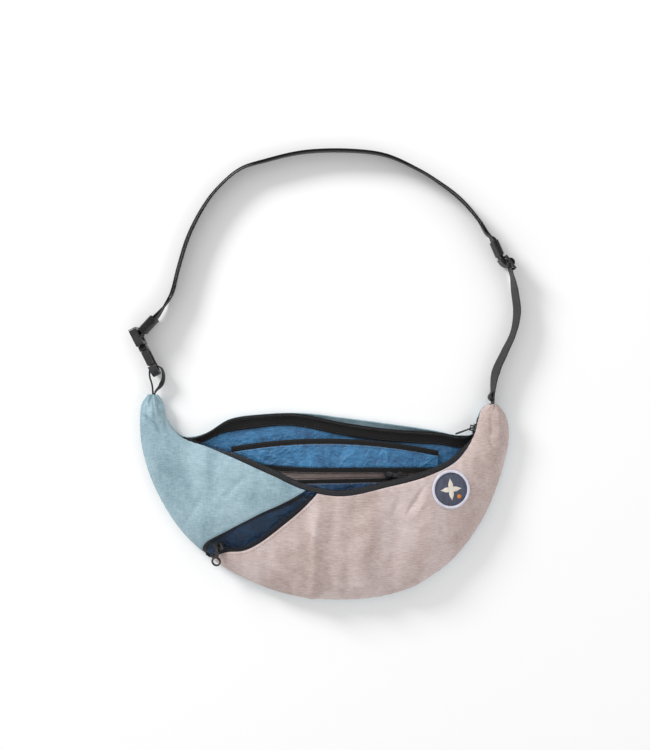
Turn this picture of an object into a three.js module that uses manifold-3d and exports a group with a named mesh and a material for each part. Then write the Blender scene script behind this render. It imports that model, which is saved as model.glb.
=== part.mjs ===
// Crescent hip bag (money belt), laid on its flat back with the main zip open.
// Millimetres, +Z up out of the front of the bag, +Y towards the strap, origin on the flat
// outer face of the back panel at the middle of the bag.
import * as THREE from 'three';
import Module from 'manifold-3d';
import { mergeVertices } from 'three/addons/utils/BufferGeometryUtils.js';

const wasm = await Module();
wasm.setup();

// ---------------------------------------------------------------- driving dimensions
const CLOTH = 1.2; // outer cloth with its coating
const LINING = 0.7; // thin lining cloth
const GAP = 0.4; // clearance between touching pieces
const EDGE_GAP = 0.3; // half the clearance between the sewn edges of the front and the back
const WEB_WIDTH = 20; // shoulder webbing
const WEB_THICK = 1.2;
const LOOP_WIDTH = 6.5; // narrow tape of the left tip loop
const CORNER = 9; // rounding between the back face and the side of the bag
const COIL_RADIUS = 1.0;
const TAPE = 0.7; // zip tape thickness
const HARDWARE_WIDTH = 26; // hook and tri-glide, across the webbing
const HARDWARE_LIFT = 3; // webbing height above the ground at the hardware
const PATCH_CENTRE = [119, 13.7];
const PATCH_RADIUS = 18;

// Cross-sections from the left tip, along the bottom of the crescent, to the right tip.
// seam: outer edge; rim: top edge of the back panel; mouth: top edge of the front panels;
// crown: how far the cloth bulges; horn: 1 where the section is a closed tube, 0 where open.
const stations = [
  { seam: [-171, 103.4, 9], rim: [-161.4, 103.2, 9], mouth: [-161.4, 103.2, 9], crown: 8, horn: 1 },
  { seam: [-176.8, 94.5, 9], rim: [-155.9, 94.5, 9], mouth: [-155.9, 94.5, 9], crown: 9, horn: 1 },
  { seam: [-178.6, 78.1, 9], rim: [-152.2, 78.6, 9], mouth: [-152.2, 78.6, 9], crown: 10, horn: 1 },
  { seam: [-176.2, 50.1, 9], rim: [-137.6, 62.8, 5.4], mouth: [-137.4, 62.4, 15.6], crown: 9, horn: 0.9 },
  { seam: [-163.6, 12.4, 9], rim: [-116.4, 65.5, 6], mouth: [-113.2, 53.7, 20], crown: 6, horn: 0.4 },
  { seam: [-138.5, -28.1, 9], rim: [-92.4, 79.4, 5.5], mouth: [-83.8, 42, 30], crown: 3, horn: 0.1 },
  { seam: [-97, -63.8, 9], rim: [-60.6, 84.2, 5], mouth: [-50.4, 27.4, 36], crown: 2, horn: 0 },
  { seam: [-41, -88, 9], rim: [-21.8, 85.2, 5], mouth: [-18.3, 13.5, 38.5], crown: 2, horn: 0 },
  { seam: [14, -94.7, 9], rim: [17, 80.8, 5], mouth: [16.4, 7.9, 39], crown: 2, horn: 0 },
  { seam: [68.1, -88, 9], rim: [60.6, 75, 5], mouth: [58.7, 16.3, 38], crown: 2, horn: 0 },
  { seam: [116.3, -61.9, 9], rim: [101.2, 69.2, 5.5], mouth: [96.7, 26.3, 34], crown: 3, horn: 0.1 },
  { seam: [150.1, -20.4, 9], rim: [131, 63.5, 5.5], mouth: [126, 40.7, 25], crown: 6, horn: 0.4 },
  { seam: [170.4, 27.9, 9], rim: [143.4, 65.5, 4.4], mouth: [142.9, 64.2, 16.4], crown: 9, horn: 0.9 },
  { seam: [177.6, 63.6, 9.5], rim: [147.2, 79, 5.2], mouth: [147.2, 79, 14.4], crown: 10, horn: 1 },
  { seam: [174.4, 82.9, 10.5], rim: [151.2, 89.6, 10.5], mouth: [151.2, 89.6, 10.5], crown: 12.5, horn: 1 },
  { seam: [166, 93.9, 11.5], rim: [157.3, 94.4, 11.5], mouth: [157.3, 94.4, 11.5], crown: 13, horn: 1 },
];
const LAST = stations.length - 1;

// Rows of the back panel: three round the corner, one flat, three up to the rim.
const BACK_ROWS = 7;
const CORNER_END = 3 / BACK_ROWS;
const RISE_START = 4 / BACK_ROWS;

// Zip edges of the front pocket: [height up the panel 0..1, station]
const aquaEdge = [[0, 5.53], [0.3, 5.5], [0.55, 5.74], [0.75, 6.12], [0.87, 6.5], [1, 7.0]];
const pinkEdge = [[0, 5.76], [0.3, 5.83], [0.48, 6.2], [0.75, 6.68], [1, 7.33]];

// ---------------------------------------------------------------- small geometry helpers
const { lerp, smoothstep } = THREE.MathUtils;
const vec = (x, y, z = 0) => new THREE.Vector3(x, y, z);
const UP = vec(0, 0, 1);

function solid(vertices, triangles) {
  let volume = 0;
  for (const [a, b, c] of triangles) {
    volume += vertices[a].dot(vertices[b].clone().cross(vertices[c]));
  }
  const facing = volume < 0 ? ([a, b, c]) => [a, c, b] : (t) => t;
  const geometry = new THREE.BufferGeometry();
  geometry.setAttribute('position', new THREE.Float32BufferAttribute(vertices.flatMap((v) => v.toArray()), 3));
  geometry.setIndex(triangles.flatMap(facing));
  geometry.computeVertexNormals();
  return geometry;
}

// Closed sheet of cloth over surface(a, b), between two distances along its normal.
function sheet(surface, across, up, from, to) {
  const STEP = 0.004;
  const outer = [];
  const inner = [];
  for (let i = 0; i <= across; i += 1) {
    for (let j = 0; j <= up; j += 1) {
      const a = i / across;
      const b = j / up;
      const a0 = Math.max(0, a - STEP);
      const b0 = Math.max(0, b - STEP);
      const da = surface(Math.min(1, a0 + 2 * STEP), b).sub(surface(Math.min(a0, 1 - 2 * STEP), b));
      const db = surface(a, Math.min(1, b0 + 2 * STEP)).sub(surface(a, Math.min(b0, 1 - 2 * STEP)));
      const normal = da.cross(db).normalize();
      const point = surface(a, b);
      outer.push(point.clone().addScaledVector(normal, to));
      inner.push(point.clone().addScaledVector(normal, from));
    }
  }
  const row = up + 1;
  const count = outer.length;
  const triangles = [];
  const quad = (a, b, c, d) => triangles.push([a, b, c], [a, c, d]);
  for (let i = 0; i < across; i += 1) {
    for (let j = 0; j < up; j += 1) {
      const k = i * row + j;
      quad(k, k + row, k + row + 1, k + 1);
      quad(count + k, count + k + 1, count + k + row + 1, count + k + row);
    }
    const low = i * row;
    const high = low + up;
    quad(low, count + low, count + low + row, low + row);
    quad(high, high + row, count + high + row, count + high);
  }
  for (let j = 0; j < up; j += 1) {
    const far = across * row + j;
    quad(j, j + 1, count + j + 1, count + j);
    quad(far, count + far, count + far + 1, far + 1);
  }
  return solid([...outer, ...inner], triangles);
}

// Solid through a row of equal rings of points, closed on itself or capped at both ends.
function loft(rings, closed = false) {
  const size = rings[0].length;
  const triangles = [];
  const steps = closed ? rings.length : rings.length - 1;
  for (let i = 0; i < steps; i += 1) {
    const here = i * size;
    const next = ((i + 1) % rings.length) * size;
    for (let j = 0; j < size; j += 1) {
      const k = (j + 1) % size;
      triangles.push([here + j, next + j, next + k], [here + j, next + k, here + k]);
    }
  }
  if (!closed) {
    const last = (rings.length - 1) * size;
    for (let j = 1; j < size - 1; j += 1) {
      triangles.push([0, j, j + 1], [last, last + j + 1, last + j]);
    }
  }
  return solid(rings.flat(), triangles);
}

// Round cord through points that follow path(t).
function cord(path, steps, radius, sides = 6) {
  const curve = new THREE.CatmullRomCurve3(Array.from({ length: steps + 1 }, (_, i) => path(i / steps)));
  const section = new THREE.Shape();
  for (let i = 0; i < sides; i += 1) {
    const angle = (i / sides) * Math.PI * 2;
    const method = i === 0 ? 'moveTo' : 'lineTo';
    section[method](radius * Math.cos(angle), radius * Math.sin(angle));
  }
  return new THREE.ExtrudeGeometry(section, { steps, extrudePath: curve });
}

// Webbing on its edge: control points are [x, y, height of the lower edge, lean in degrees].
function webbing(controls, width, thick, perSpan) {
  const route = new THREE.CatmullRomCurve3(controls.map(([x, y, z]) => vec(x, y, z)), false, 'centripetal');
  const leans = new THREE.CatmullRomCurve3(controls.map((c) => vec(c[3] ?? 0, 0)), false, 'catmullrom');
  const steps = (controls.length - 1) * perSpan;
  const rings = [];
  for (let i = 0; i <= steps; i += 1) {
    const point = route.getPoint(i / steps);
    const along = route.getTangent(i / steps).setZ(0).normalize();
    const side = vec(-along.y, along.x);
    const lean = THREE.MathUtils.degToRad(leans.getPoint(i / steps).x);
    const tall = side.clone().multiplyScalar(Math.sin(lean)).addScaledVector(UP, Math.cos(lean));
    const thin = side.clone().multiplyScalar(Math.cos(lean)).addScaledVector(UP, -Math.sin(lean));
    const corner = (t, w) => point.clone().addScaledVector(thin, t * thick).addScaledVector(tall, w * width);
    rings.push([corner(-0.5, 0), corner(0.5, 0), corner(0.5, 1), corner(-0.5, 1)]);
  }
  return loft(rings);
}

function toManifold(geometry) {
  const bare = geometry.clone();
  bare.deleteAttribute('normal');
  bare.deleteAttribute('uv');
  const merged = mergeVertices(bare);
  return new wasm.Manifold(new wasm.Mesh({
    numProp: 3,
    vertProperties: merged.attributes.position.array,
    triVerts: new Uint32Array(merged.index.array),
  }));
}

function fromManifold(body) {
  const mesh = body.getMesh();
  const geometry = new THREE.BufferGeometry();
  geometry.setAttribute('position', new THREE.BufferAttribute(mesh.vertProperties.slice(), 3));
  geometry.setIndex(new THREE.BufferAttribute(mesh.triVerts.slice(), 1));
  geometry.computeVertexNormals();
  return geometry;
}

const join = (...pieces) => fromManifold(pieces.map(toManifold).reduce((whole, piece) => whole.add(piece)));
const cut = (body, ...tools) => fromManifold(
  tools.reduce((left, tool) => left.subtract(toManifold(tool)), toManifold(body)),
);

const box = (x0, x1, y0, y1, z0, z1) => new THREE.BoxGeometry(x1 - x0, y1 - y0, z1 - z0)
  .translate((x0 + x1) / 2, (y0 + y1) / 2, (z0 + z1) / 2);

// Plate drawn in the X-Z plane and thick along Y, centred on Y = 0.
function uprightPlate(shape, thickness) {
  const geometry = new THREE.ExtrudeGeometry(shape, { depth: thickness, bevelEnabled: false, curveSegments: 6 });
  return geometry.rotateX(Math.PI / 2).translate(0, thickness / 2, 0);
}

function roundedRectangle(x0, x1, y0, y1, radius, path = new THREE.Shape()) {
  path.moveTo(x0 + radius, y0);
  path.lineTo(x1 - radius, y0).absarc(x1 - radius, y0 + radius, radius, -Math.PI / 2, 0);
  path.lineTo(x1, y1 - radius).absarc(x1 - radius, y1 - radius, radius, 0, Math.PI / 2);
  path.lineTo(x0 + radius, y1).absarc(x0 + radius, y1 - radius, radius, Math.PI / 2, Math.PI);
  path.lineTo(x0, y0 + radius).absarc(x0 + radius, y0 + radius, radius, Math.PI, Math.PI * 1.5);
  return path;
}

// ---------------------------------------------------------------- materials
const material = (color, roughness, metalness = 0) => new THREE.MeshStandardMaterial({ color, roughness, metalness });
const aquaCloth = material(0xa3bfc6, 0.9);
const pinkCloth = material(0xc4b2ac, 0.9);
const blueLining = material(0x2b6f9c, 0.5);
const navyLining = material(0x17354f, 0.5);
const blackTape = material(0x242325, 0.8);
const blackWeb = material(0x343436, 0.85);
const blackPlastic = material(0x1d1d1f, 0.45);
const blackMetal = material(0x2a2a2c, 0.35, 0.8);
const patchNavy = material(0x3b4056, 0.8);
const patchWhite = material(0xe4e2ee, 0.8);
const patchCream = material(0xefe6da, 0.8);
const patchOrange = material(0xe88a2c, 0.8);

const object = new THREE.Group();
function add(name, geometry, finish, parent = object) {
  const mesh = new THREE.Mesh(geometry, finish);
  mesh.name = name;
  parent.add(mesh);
  return mesh;
}

// Group whose local X and Z axes point along the given directions.
function frameAt(origin, alongX, towardsZ) {
  const x = alongX.clone().normalize();
  const y = towardsZ.clone().cross(x).normalize();
  const z = x.clone().cross(y);
  const group = new THREE.Group();
  group.applyMatrix4(new THREE.Matrix4().makeBasis(x, y, z).setPosition(origin));
  object.add(group);
  return group;
}

// ---------------------------------------------------------------- shape of the bag
const stationCurve = (pick) => new THREE.CatmullRomCurve3(stations.map((s) => vec(...pick(s))));
const seamLine = stationCurve((s) => s.seam);
const rimLine = stationCurve((s) => s.rim);
const mouthLine = stationCurve((s) => s.mouth);
const fullness = stationCurve((s) => [s.crown, s.horn, 0]);

function frontPoint(station, v) {
  const u = station / LAST;
  const seam = seamLine.getPoint(u);
  const mouth = mouthLine.getPoint(u);
  const { x: crown, y: horn } = fullness.getPoint(u);
  const open = 1 - Math.cos((v * Math.PI) / 2);
  const closed = (1 - Math.cos(v * Math.PI)) / 2;
  const point = seam.clone().lerp(mouth, lerp(open, closed, horn));
  const rise = (mouth.z - seam.z) * Math.sin((v * Math.PI) / 2);
  point.z = seam.z + EDGE_GAP + rise + crown * Math.sin(v * Math.PI);
  return point;
}

function frontNormal(station, v) {
  const H = 0.01;
  const [s0, v0] = [Math.max(0, station - H), Math.max(0, v - H)];
  const [s1, v1] = [Math.min(LAST, station + H), Math.min(1, v + H)];
  const across = frontPoint(s1, v).sub(frontPoint(s0, v));
  return across.cross(frontPoint(station, v1).sub(frontPoint(station, v0))).normalize();
}

// The back runs from the seam down a rounded corner, flat along the ground, up to the rim.
function backPoint(station, v) {
  const u = station / LAST;
  const seam = seamLine.getPoint(u);
  const rim = rimLine.getPoint(u);
  const span = Math.hypot(rim.x - seam.x, rim.y - seam.y);
  const corner = Math.min(CORNER, span / 2) / span;
  let along = lerp(corner, 1 - corner, (v - CORNER_END) / (RISE_START - CORNER_END));
  let z = 0;
  if (v < CORNER_END) {
    const angle = (v / CORNER_END) * (Math.PI / 2);
    along = corner * (1 - Math.cos(angle));
    z = (seam.z - EDGE_GAP) * (1 - Math.sin(angle));
  } else if (v > RISE_START) {
    const angle = ((v - RISE_START) / (1 - RISE_START)) * (Math.PI / 2);
    along = 1 - corner + corner * Math.sin(angle);
    z = (rim.z - EDGE_GAP) * (1 - Math.cos(angle));
  }
  const point = seam.clone().lerp(rim, along);
  point.z = z;
  return point;
}

const edgeCurve = (edge) => new THREE.CatmullRomCurve3(edge.map(([v, station]) => vec(v, station)));
function edgeStation(edge) {
  const points = edgeCurve(edge).getPoints(80);
  return (v) => {
    const next = Math.max(1, points.findIndex((p) => p.x >= v - 1e-9));
    const [a, b] = [points[next - 1], points[next]];
    return lerp(a.y, b.y, (v - a.x) / (b.x - a.x));
  };
}
const aquaStation = edgeStation(aquaEdge);
const pinkStation = edgeStation(pinkEdge);

// ---------------------------------------------------------------- outer panels
add('back_panel', sheet((a, b) => backPoint(a * LAST, b), 38, BACK_ROWS, 0, CLOTH), aquaCloth);
add('front_panel_aqua', sheet((a, b) => frontPoint(a * aquaStation(b), b), 18, 9, -CLOTH, 0), aquaCloth);
const pinkPoint = (a, b) => frontPoint(lerp(pinkStation(b), LAST, a), b);
add('front_panel_pink', sheet(pinkPoint, 28, 9, -CLOTH, 0), pinkCloth);

// ---------------------------------------------------------------- linings and the front pocket
const POCKET_FIRST = 4.8;
const POCKET_LAST = 8.8;
const POCKET_DEPTH = 11;
const bump = (value, low, high) => (
  Math.sin(Math.PI * THREE.MathUtils.clamp((value - low) / (high - low), 0, 1))
);
function pocketFloor(station, v) {
  const depth = POCKET_DEPTH * Math.sqrt(bump(station, POCKET_FIRST, POCKET_LAST)) * bump(v, 0.1, 1);
  return frontPoint(station, v).addScaledVector(frontNormal(station, v), -depth);
}
const pocketPoint = (a, b) => pocketFloor(lerp(POCKET_FIRST + 0.35, POCKET_LAST - 0.35, a), lerp(0.12, 0.95, b));
add('front_pocket_lining', sheet(pocketPoint, 14, 7, -CLOTH - GAP - LINING, -CLOTH - GAP), navyLining);
const frontLiningPoint = (a, b) => pocketFloor(lerp(3.2, 12, a), lerp(0.07, 0.94, b));
const LINING_DEPTH = CLOTH + LINING + 3 * GAP;
add('front_lining', sheet(frontLiningPoint, 26, 7, -LINING_DEPTH - LINING, -LINING_DEPTH), blueLining);
const backLiningPoint = (a, b) => backPoint(lerp(3.2, 12, a), lerp(CORNER_END, RISE_START, b));
add('back_lining', sheet(backLiningPoint, 24, 1, CLOTH + GAP, CLOTH + GAP + LINING), blueLining);

// Bound seam allowance inside the bottom edge of the bag.
const BINDING_INSET = 3;
function bindingRing(station) {
  const seam = seamLine.getPoint(station / LAST);
  const inward = rimLine.getPoint(station / LAST).sub(seam).setZ(0).normalize();
  const corner = (inset, z) => seam.clone().addScaledVector(inward, inset).setZ(z);
  const outer = BINDING_INSET - 0.5;
  const inner = BINDING_INSET + 0.5;
  return [corner(outer, 7.5), corner(inner, 7.5), corner(inner, 10), corner(outer, 10)];
}
const bindingStations = Array.from({ length: 31 }, (_, i) => lerp(4, 11, i / 30));
add('seam_binding', loft(bindingStations.map(bindingRing)), blackTape);

// ---------------------------------------------------------------- main zip
const CHAIN_DROP = 3.4; // panel edge to the middle of the coil where the zip is closed
const ZIP_FIRST = 3.05;
const ZIP_LAST = 13.05;
const closedAt = (station) => smoothstep(station, 11.1, 11.95);
function mainZipFrame(station) {
  const u = station / LAST;
  const rim = rimLine.getPoint(u);
  const mouth = mouthLine.getPoint(u);
  const inward = seamLine.getPoint(u).sub(rim).setZ(0).normalize();
  return { rim, mouth, inward, closed: closedAt(station) };
}
// Cloth that shows above the back tape where it is sewn lower, in the middle and at the left corner.
const revealAt = (station) => 5 * bump(station, 6.8, 10.4) + 4.5 * (1 - smoothstep(station, 3.3, 4.2));
const backTapeWidth = (station) => 12.5 + 2.5 * bump(station, 3.4, 6.4);
// The front tape is tucked under the cloth at the left and shows as a band from there on.
const frontTapeShown = (station) => smoothstep(station, 3.9, 5.2);
const frontTapeStart = (station) => lerp(-0.6, 0.8, frontTapeShown(station));
const frontTapeReach = (station) => lerp(-0.4, 3.2, frontTapeShown(station));
const frontTapeTop = (station) => lerp(2.2, 0.8, frontTapeShown(station));
const frontTapeDrop = (station) => lerp(2.0, 9, frontTapeShown(station));
function backTapePoint(a, b) {
  const station = lerp(ZIP_FIRST, ZIP_LAST, a);
  const { rim, inward, closed } = mainZipFrame(station);
  const flat = inward.clone().multiplyScalar(0.4 + revealAt(station) + backTapeWidth(station) * b);
  flat.setZ(GAP + 0.5 - (rim.z - 2.6) * b * 0.9);
  const upright = inward.clone().multiplyScalar(0.6).setZ(GAP + (CHAIN_DROP - 1.8) * b);
  return rim.clone().add(flat.lerp(upright, closed));
}
function frontTapePoint(a, b) {
  const station = lerp(ZIP_FIRST, ZIP_LAST, a);
  const { mouth, inward, closed } = mainZipFrame(station);
  const reach = frontTapeStart(station) + frontTapeReach(station) * b;
  const droop = inward.clone().multiplyScalar(-reach).setZ(-frontTapeTop(station) - frontTapeDrop(station) * b);
  const upright = inward.clone().multiplyScalar(0.6).setZ(-GAP - (CHAIN_DROP - 1.8) * b);
  return mouth.clone().add(droop.lerp(upright, closed));
}
add('main_zip_tape_back', sheet(backTapePoint, 34, 2, -TAPE / 2, TAPE / 2), blackTape);
add('main_zip_tape_front', sheet(frontTapePoint, 34, 2, -TAPE / 2, TAPE / 2), blackTape);
function backCoilPoint(t) {
  const station = lerp(ZIP_FIRST + 0.1, ZIP_LAST - 0.1, t);
  const { rim, inward, closed } = mainZipFrame(station);
  const flat = inward.clone().multiplyScalar(2.4 + revealAt(station)).setZ(GAP + 1.9);
  return rim.clone().add(flat.lerp(inward.clone().multiplyScalar(0.6).setZ(CHAIN_DROP), closed));
}
function frontCoilPoint(t) {
  const station = lerp(ZIP_FIRST + 0.1, ZIP_LAST - 0.1, t);
  const { mouth, inward, closed } = mainZipFrame(station);
  const low = frontTapeTop(station) + frontTapeDrop(station) + 1.7;
  const droop = inward.clone().multiplyScalar(-frontTapeReach(station) - 1.0).setZ(-low);
  return mouth.clone().add(droop.lerp(inward.clone().multiplyScalar(0.6).setZ(-CHAIN_DROP), closed));
}
add('main_zip_coil_back', cord(backCoilPoint, 44, COIL_RADIUS), blackTape);
add('main_zip_coil_front', cord(frontCoilPoint, 44, COIL_RADIUS), blackTape);

// Slider: two plates, a bridge between the coils and a swivelling bail for the pull.
function sliderBody(length, width, opening, bailTurn) {
  const plate = 1.1;
  const half = opening / 2;
  const outline = (z0) => {
    const shape = new THREE.Shape();
    shape.moveTo(-length / 2, -width * 0.36).lineTo(length * 0.1, -width / 2).lineTo(length / 2, -width * 0.42);
    shape.lineTo(length / 2, width * 0.42).lineTo(length * 0.1, width / 2).lineTo(-length / 2, width * 0.36);
    return new THREE.ExtrudeGeometry(shape, { depth: plate, bevelEnabled: false }).translate(0, 0, z0);
  };
  const bridge = box(length / 2 - 1.8, length / 2 - 0.3, -0.4, 0.4, -half - 0.2, half + 0.2);
  const bailTop = half + plate + 3.3;
  const bail = cut(
    box(-length * 0.32, length * 0.32, -1.0, 1.0, half + plate - 0.2, bailTop),
    box(-length * 0.18, length * 0.18, -2, 2, half + plate, bailTop - 0.8),
  ).rotateZ(bailTurn);
  return join(outline(half), outline(-half - plate), bridge, bail);
}

// Moulded ring pull that hangs from the bail, hinge line along Y at the origin.
function ringPull(length, width) {
  const radius = width / 2;
  const neck = 1.9;
  const joint = Math.asin(neck / radius);
  const shape = new THREE.Shape();
  shape.moveTo(1.0, -1.6).lineTo(1.0, 1.6).lineTo(-4.6, neck);
  shape.absarc(radius - length, 0, radius, joint, Math.PI * 2 - joint).lineTo(-4.6, -neck);
  const ring = new THREE.ExtrudeGeometry(shape, { depth: 1.4, bevelEnabled: false, curveSegments: 12 })
    .translate(0, 0, -0.7);
  const eye = new THREE.Path().absarc(radius - length, 0, radius - 1.6, 0, Math.PI * 2);
  const hole = new THREE.ExtrudeGeometry(new THREE.Shape(eye.getPoints(12)), { depth: 4, bevelEnabled: false });
  const slot = box(-3.6, -0.75, -1.35, 1.35, -2, 2);
  return cut(ring, hole.translate(0, 0, -2), slot);
}

// A slider and its pull. Local X runs towards the open side; the pull lifts and swivels by degrees.
function addSlider(prefix, frame, { length, width, opening, pullLength, pullWidth, pullLift, pullTurn = 0 }) {
  const turn = THREE.MathUtils.degToRad(pullTurn);
  add(`${prefix}_slider`, sliderBody(length, width, opening, turn), blackMetal, frame);
  const pull = add(`${prefix}_pull`, ringPull(pullLength, pullWidth), blackPlastic, frame);
  pull.position.set(0, 0, opening / 2 + 1.1 + 1.25);
  pull.rotation.set(0, THREE.MathUtils.degToRad(pullLift), turn, 'ZYX');
}

const SLIDER_STATION = 12.4;
const chainPoint = (station) => {
  const { rim, mouth, inward } = mainZipFrame(station);
  return rim.clone().add(mouth).multiplyScalar(0.5).addScaledVector(inward, 0.6);
};
const mainChainMiddle = chainPoint(SLIDER_STATION);
const mainOpenWay = chainPoint(SLIDER_STATION - 0.12).sub(chainPoint(SLIDER_STATION + 0.12));
const mainFacing = mainZipFrame(SLIDER_STATION).inward.clone().negate();
const mainFrame = frameAt(mainChainMiddle, mainOpenWay, mainFacing);
const mainPull = { pullLength: 17, pullWidth: 8.4, pullLift: 56, pullTurn: 180 };
addSlider('main_zip', mainFrame, { length: 9, width: 8.4, opening: 3.5, ...mainPull });

// ---------------------------------------------------------------- front pocket zip
const slitFrame = (stationAt, side) => (v) => {
  const point = frontPoint(stationAt(v), v);
  const along = frontPoint(stationAt(Math.min(1, v + 0.01)), Math.min(1, v + 0.01))
    .sub(frontPoint(stationAt(Math.max(0, v - 0.01)), Math.max(0, v - 0.01))).normalize();
  const normal = frontNormal(stationAt(v), v);
  const across = along.clone().cross(normal).multiplyScalar(side).normalize();
  return { point, along, normal, across };
};
const pinkSlit = slitFrame(pinkStation, -1);
const aquaSlit = slitFrame(aquaStation, 1);
const POCKET_TAPE_WIDTH = 3.0;
const AQUA_TAPE_HANG = 0.75; // how far the aqua side's tape is folded down under its edge, 0..1
const hangAt = (v) => AQUA_TAPE_HANG * bump(v, 0.36, 0.95) ** 0.5;
const POCKET_ZIP_LOW = 0.1;
const POCKET_ZIP_HIGH = 0.97;
const onPocketTape = ({ point, normal, across }, reach, hang) => {
  const fold = Math.PI / 2 * hang;
  const flat = 2 * GAP + reach * Math.cos(fold);
  return point.addScaledVector(across, flat).addScaledVector(normal, -CLOTH / 2 - reach * Math.sin(fold));
};
function pocketTape(slit, flip) {
  const surface = (a, b) => {
    const v = lerp(POCKET_ZIP_LOW, POCKET_ZIP_HIGH, a);
    return onPocketTape(slit(v), (POCKET_TAPE_WIDTH - GAP) * b, flip ? hangAt(v) : 0);
  };
  return sheet(flip ? (a, b) => surface(1 - a, b) : surface, 20, 1, -TAPE / 2, TAPE / 2);
}
const pocketCoil = (slit, flip) => cord((t) => {
  const v = lerp(POCKET_ZIP_LOW, POCKET_ZIP_HIGH, t);
  return onPocketTape(slit(v), POCKET_TAPE_WIDTH + 1.6 - 2 * GAP, flip ? hangAt(v) : 0);
}, 26, 0.85);
add('pocket_zip_tape_pink', pocketTape(pinkSlit, false), blackTape);
add('pocket_zip_tape_aqua', pocketTape(aquaSlit, true), blackTape);
add('pocket_zip_coil_pink', pocketCoil(pinkSlit, false), blackTape);
add('pocket_zip_coil_aqua', pocketCoil(aquaSlit, true), blackTape);
const POCKET_SLIDER_AT = 0.37;
const slitMiddle = (v) => frontPoint((pinkStation(v) + aquaStation(v)) / 2, v);
const pocketChain = slitMiddle(POCKET_SLIDER_AT);
const pocketOpenWay = slitMiddle(POCKET_SLIDER_AT + 0.04).sub(slitMiddle(POCKET_SLIDER_AT - 0.04));
const pocketNormal = pinkSlit(POCKET_SLIDER_AT).normal.add(aquaSlit(POCKET_SLIDER_AT).normal).normalize();
const pocketFrame = frameAt(pocketChain.addScaledVector(pocketNormal, -CLOTH / 2), pocketOpenWay, pocketNormal);
const pocketPull = { pullLength: 19.2, pullWidth: 9.4, pullLift: 4, pullTurn: 62 };
addSlider('pocket_zip', pocketFrame, { length: 9, width: 8, opening: 2.9, ...pocketPull });

// ---------------------------------------------------------------- pockets on the inner back wall
const WALL_LEFT = -91;
const WALL_RIGHT = 110;
const slipTop = (x) => 58 - 0.00098 * x * x;
const zipTop = (x) => 29.6 + (x < 0 ? 0.0009 * x * x : 0);
const zipLow = (x) => 19.2 + 0.02 * Math.min(x, 72) + smoothstep(x, 50, 72);
const WALL_FLOOR = -42;
const pocketLift = (x) => 4.1 + 4.2 * Math.sqrt(Math.max(0, bump(x, WALL_LEFT - 4, WALL_RIGHT + 4)));
function wallStrip(lowAt, highAt, height, columns, rows, thickness = LINING, xs = [WALL_LEFT, WALL_RIGHT]) {
  const surface = (a, b) => {
    const x = lerp(xs[0], xs[1], a);
    return vec(x, lerp(lowAt(x), highAt(x), b), height(x, b));
  };
  return sheet(surface, columns, rows, -thickness / 2, thickness / 2);
}
const wallHeight = (x) => pocketLift(x);
add('inner_pocket_backing', wallStrip(() => WALL_FLOOR, (x) => slipTop(x) - 1, () => 3.1, 12, 1, 0.5), pinkCloth);
const slipPanel = wallStrip((x) => zipTop(x) + 2.6, (x) => slipTop(x) - 3, wallHeight, 18, 1);
add('inner_slip_pocket_panel', slipPanel, blueLining);
const slipBinding = wallStrip((x) => slipTop(x) - 2.6, (x) => slipTop(x) + 2.6, wallHeight, 18, 1, 1.0);
add('inner_slip_pocket_binding', slipBinding, blackTape);
const tapeAlong = (from, to) => wallStrip(from, to, wallHeight, 18, 1);
add('inner_zip_tape_upper', tapeAlong((x) => zipTop(x) - 1.8, (x) => zipTop(x) + 2.2), blackTape);
add('inner_zip_tape_lower', tapeAlong((x) => zipLow(x) - 2.0, (x) => zipLow(x) + 1.8), blackTape);
const zipPanelHeight = (x, b) => lerp(3.9, pocketLift(x), Math.sqrt(b));
const zipPanel = wallStrip(() => WALL_FLOOR, (x) => zipLow(x) - 2.4, zipPanelHeight, 18, 5);
add('inner_zip_pocket_panel', zipPanel, navyLining);
const wallCoil = (middle) => cord((t) => {
  const x = lerp(WALL_LEFT + 4, WALL_RIGHT - 4, t);
  return vec(x, middle(x), wallHeight(x));
}, 22, 0.8);
add('inner_zip_coil_upper', wallCoil((x) => zipTop(x) - 3.0), blackTape);
add('inner_zip_coil_lower', wallCoil((x) => zipLow(x) + 3.0), blackTape);

const INNER_SLIDER_X = 62;
const innerZipY = (zipTop(INNER_SLIDER_X) + zipLow(INNER_SLIDER_X)) / 2;
const innerMiddle = vec(INNER_SLIDER_X, innerZipY, wallHeight(INNER_SLIDER_X));
const innerFrame = frameAt(innerMiddle, vec(-1, 0, 0), UP);
const innerPull = { pullLength: 13.5, pullWidth: 7, pullLift: 4 };
addSlider('inner_zip', innerFrame, { length: 8, width: 7, opening: 2.4, ...innerPull });

// ---------------------------------------------------------------- patch on the pink panel
function onFront(x, y) {
  let station = 10.5;
  let v = 0.8;
  const H = 0.002;
  for (let i = 0; i < 12; i += 1) {
    const p = frontPoint(station, v);
    const ds = frontPoint(station + H, v).sub(p).divideScalar(H);
    const dv = frontPoint(station, v + H).sub(p).divideScalar(H);
    const det = ds.x * dv.y - ds.y * dv.x;
    station += ((x - p.x) * dv.y - (y - p.y) * dv.x) / det;
    v += (ds.x * (y - p.y) - ds.y * (x - p.x)) / det;
  }
  return { point: frontPoint(station, v), normal: frontNormal(station, v) };
}
const DISC_RADIUS = PATCH_RADIUS - 2.4;
function discPoint(a, b) {
  const [p, q] = [2 * a - 1, 2 * b - 1];
  const x = PATCH_CENTRE[0] + DISC_RADIUS * p * Math.sqrt(1 - (q * q) / 2);
  const y = PATCH_CENTRE[1] + DISC_RADIUS * q * Math.sqrt(1 - (p * p) / 2);
  const { point, normal } = onFront(x, y);
  return point.addScaledVector(normal, GAP);
}
add('patch_disc', sheet(discPoint, 8, 8, 0, 0.8), patchNavy);
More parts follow.
